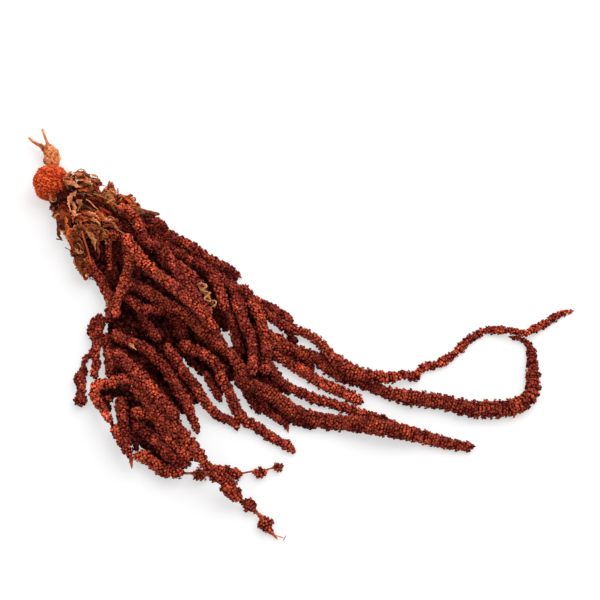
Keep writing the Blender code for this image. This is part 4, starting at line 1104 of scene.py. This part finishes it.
def wander(draw, start, way, length, hug):
    """A random curling line from start that keeps near the solids."""
    line = [start]
    way = unit(way)
    turn = draw.normal(0, 0.25, 3)
    for _ in range(max(4, round(length / WANDER_STEP))):
        turn = 0.6 * turn + draw.normal(0, WANDER_TURN, 3)
        way = unit(way + 0.5 * turn)
        place = line[-1] + WANDER_STEP * way
        nearest, _, _, gap = SOLIDS.find_nearest(Vector(place))
        if gap > hug:
            pull = unit(np.array(nearest) - place)
            place = place + pull * (gap - hug)
            way = unit(way + 0.5 * pull)
        line.append(place)
    return np.array(line)


# A leaf's crumples, by length and amount, and the size of its folds' shading
LEAF_CRUMPLES = ((9.0, 5.0), (4.5, 3.6), (2.4, 1.3))
LEAF_SHADING = 2.6


def closeness(points, middle, size):
    """How close points are to a place, from 1 at it to 0 far off."""
    return np.exp(-((points - middle) ** 2).sum(axis=1) / size**2)


def painted_hollow_shade(points):
    """How light the leaves are at points: painted shade makes them dark where the photograph shows
    hollows.
    """
    shade = np.ones(len(points))
    for middle, size in LEAF_SHADED_HOLLOWS:
        shade *= 1 - LEAF_HOLLOW_LOSS * closeness(points, middle, size)
    return shade[:, None]


def dress_leaf(name, number):
    """A shrivelled leaf: its solid's blade, crumpled, and curled strips that cling to it."""
    look = LEAF_LOOKS.get(name, TAN)
    points, faces, _ = refined(name, 2)
    moved = crumpled(points, LEAF_CRUMPLES, number, look.crumple) + LEAF_SHIFTS.get(name, 0)
    share = np.clip(0.35 + 1.8 * noise_at(points, LEAF_SHADING, (number, 0, 0)), 0, 1)[:, None]
    parts = [(moved, faces, blend(share, look.face, look.fold))]
    main = np.linalg.svd(points - points.mean(axis=0), full_matrices=False)[2][0]
    draw = np.random.default_rng(SEED + number)
    for _ in range(look.strips):
        start = points[draw.integers(len(points))]
        way = main * draw.choice([-1, 1]) + draw.normal(0, 0.6, 3)
        line = wander(draw, start, way, draw.uniform(*STRIP_LENGTHS), STRIP_HUG)
        colour = look.colours[draw.integers(len(look.colours))]
        parts.append(strip(draw, line, draw.uniform(*STRIP_WIDTHS), colour, STRIP_CRUMPLE))
    parts += [strip(draw, line, CURL_SHARE * width, colour, CURL_CRUMPLE)
              for colour, width, line in CURLS.get(name, [])]
    # Painted shade darkens the blades and strips in the hollows
    parts = [(points, faces, tints * painted_hollow_shade(points)) for points, faces, tints in parts]
    add_piece(name, parts + twigs_of(name), "leaf_brown" if look == BROWN else "leaf_tan")


def red_fold(points):
    """Factors that redden the sheath's left shoulder."""
    return 1 - closeness(points, RED_FOLD, RED_FOLD_SIZE)[:, None] * RED_FOLD_LOSS


def dress_stalk(name):
    """The cut stalk: its solid, drawn into long fibres, with torn papery scales on the sheath."""
    points, faces, normals = refined(name, 2)
    along = (points @ STALK_WAY)[:, None] * STALK_WAY
    lines = noise_at((points - along) + STREAK_STRETCH * along, 1.5)
    wide = np.clip((SHEATH_TOP - points[:, 1]) / 6.0, 0, 1)
    folds = np.abs(smooth_noise(points, 4.0))
    moved = points + normals * (0.5 * lines - 0.5 + wide * (1.6 * folds - 1.0))[:, None]
    share = np.clip(0.55 + 1.4 * lines + 0.5 * wide * (folds - 0.4), 0, 1)[:, None]
    parts = [(moved, faces, blend(share, PAPER, PAPER_FOLD))]
    x, y, _ = points.T
    sheath = points[(x < SHEATH_RIGHT) & (y > SHEATH_LOW) & (y < SHEATH_TOP)]
    draw = np.random.default_rng(SEED)
    for _ in range(PAPER_SCALES):
        start = sheath[draw.integers(len(sheath))]
        way = STALK_WAY * draw.choice([-1, 1]) + draw.normal(0, 0.3, 3)
        line = wander(draw, start, way, draw.uniform(*SCALE_LENGTHS), SCALE_HUG)
        colour = blend(draw.uniform(0, 1), PAPER, PAPER_RED) * draw.uniform(0.7, 1.15)
        parts.append(strip(draw, line, draw.uniform(*SCALE_WIDTHS), colour, SCALE_CRUMPLE, SCALE_TONE))
    parts += twigs_of(name)
    for points, _, tints in parts:
        leftness = np.clip((SHEATH_MIDDLE[0] - points[:, 0]) / SHEATH_HALF[0], 0, 1)
        nearness = np.exp(-((points[:, 1] - SHEATH_MIDDLE[1]) / SHEATH_HALF[1]) ** 2)
        tints *= red_fold(points)
        points[:, 0] += SHEATH_DRAWN_IN * leftness * nearness
    add_piece(name, parts, "stalk")


def dress_side_stem(name):
    """The bare dark side stem, with small scars along it."""
    points, faces, normals = refined(name, 2)
    rough = noise_at(points, 2.2)[:, None]
    parts = [(points + normals * (0.5 * rough), faces, np.array(SIDE_STEM) * (1 + 0.9 * rough))]
    add_piece(name, parts + twigs_of(name), "side_stem")


def new_material(name):
    """A material and its shader."""
    material = bpy.data.materials.new(name)
    material.use_nodes = True
    return material, material.node_tree.nodes["Principled BSDF"]


def tinted_surface(name, mottle_scale, levels, roughness, relief, gloss):
    """A dry surface in the piece's own tints, mottled, with a fine crumple of its own."""
    material, shader = new_material(name)
    shader.inputs["Specular IOR Level"].default_value = gloss
    tree = material.node_tree
    tint, place, mottle, level, rough, mix, crumple = [
        tree.nodes.new("ShaderNode" + kind)
        for kind in ("Attribute", "TexCoord", "TexNoise", "MapRange", "MapRange", "VectorMath", "Bump")]
    tint.attribute_name = "tint"
    mix.operation = "SCALE"
    for node, socket, value in (
            (mottle, "Scale", mottle_scale), (mottle, "Detail", 3.0),
            (level, "From Min", 0.3), (level, "From Max", 0.7),
            (level, "To Min", levels[0]), (level, "To Max", levels[1]),
            (rough, "To Min", roughness[0]), (rough, "To Max", roughness[1]),
            (crumple, "Strength", relief[0]), (crumple, "Distance", relief[1])):
        node.inputs[socket].default_value = value
    for giver, output, taker, socket in (
            (place, "Object", mottle, "Vector"), (mottle, "Fac", level, "Value"),
            (tint, "Color", mix, 0), (level, "Result", mix, "Scale"),
            (mix, "Vector", shader, "Base Color"), (mottle, "Fac", rough, "Value"),
            (rough, "Result", shader, "Roughness"), (mottle, "Fac", crumple, "Height"),
            (crumple, "Normal", shader, "Normal")):
        tree.links.new(giver.outputs[output], taker.inputs[socket])
    return material


def floret_surface(name):
    return tinted_surface(name, mottle_scale=420.0, levels=(0.72, 1.25), roughness=(0.6, 0.95),
                          relief=(0.35, 0.0004), gloss=0.04)


def leaf_surface(name):
    return tinted_surface(name, mottle_scale=380.0, levels=(0.60, 1.30), roughness=(0.6, 0.9),
                          relief=(0.6, 0.0006), gloss=0.06)


def aimed(name, data, place, target):
    """A camera or lamp at a place, turned towards a target."""
    thing = bpy.data.objects.new(name, data)
    thing.location = place
    thing.rotation_euler = (Vector(target) - Vector(place)).to_track_quat("-Z", "Y").to_euler()
    bpy.context.scene.collection.objects.link(thing)
    return thing


def add_camera():
    data = bpy.data.cameras.new("camera")
    data.lens = CAMERA_LENS
    bpy.context.scene.camera = aimed("camera", data, CAMERA_PLACE, CAMERA_TARGET)


def add_key_light():
    """One large soft lamp behind and to the right."""
    data = bpy.data.lights.new("key", "AREA")
    data.shape = "RECTANGLE"
    data.size = data.size_y = KEY_SIZE
    data.energy = KEY_POWER
    aimed("key", data, KEY_PLACE, KEY_TARGET)


def add_sky():
    """A bright, even sky."""
    world = bpy.data.worlds.new("studio")
    world.use_nodes = True
    sky = world.node_tree.nodes["Background"]
    sky.inputs["Color"].default_value = (1.0, 1.0, 1.0, 1.0)
    sky.inputs["Strength"].default_value = SKY_STRENGTH
    bpy.context.scene.world = world
    bpy.context.scene.view_settings.view_transform = "Standard"


def add_floor():
    """A white floor, wide enough to fill the view."""
    mesh = bpy.data.meshes.new("floor")
    corners = [(x * FLOOR_HALF, y * FLOOR_HALF, 0) for x, y in ((-1, -1), (1, -1), (1, 1), (-1, 1))]
    mesh.from_pydata(corners, [], [(0, 1, 2, 3)])
    floor = bpy.data.objects.new("floor", mesh)
    material, shader = new_material("floor")
    shader.inputs["Base Color"].default_value = (FLOOR_TONE, FLOOR_TONE, FLOOR_TONE, 1)
    shader.inputs["Roughness"].default_value = 0.8
    shader.inputs["Emission Color"].default_value = (1, 1, 1, 1)
    shader.inputs["Emission Strength"].default_value = FLOOR_GLOW
    mesh.materials.append(material)
    bpy.context.scene.collection.objects.link(floor)


add_camera()
add_sky()
add_key_light()
add_floor()
DRY_FLORETS = floret_surface("dry_florets")
DRY_LEAF = leaf_surface("dry_leaf")
for number, node in enumerate(NODES):
    if node.startswith("tassel_"):
        dress_tassel(node)
    elif node.startswith("leaf_") or node == "curl_small":
        dress_leaf(node, number)
    elif node == "crown_knob":
        dress_knob(node)
    elif node == "stalk":
        dress_stalk(node)
    elif node == "side_stem":
        dress_side_stem(node)
dress_sprays()
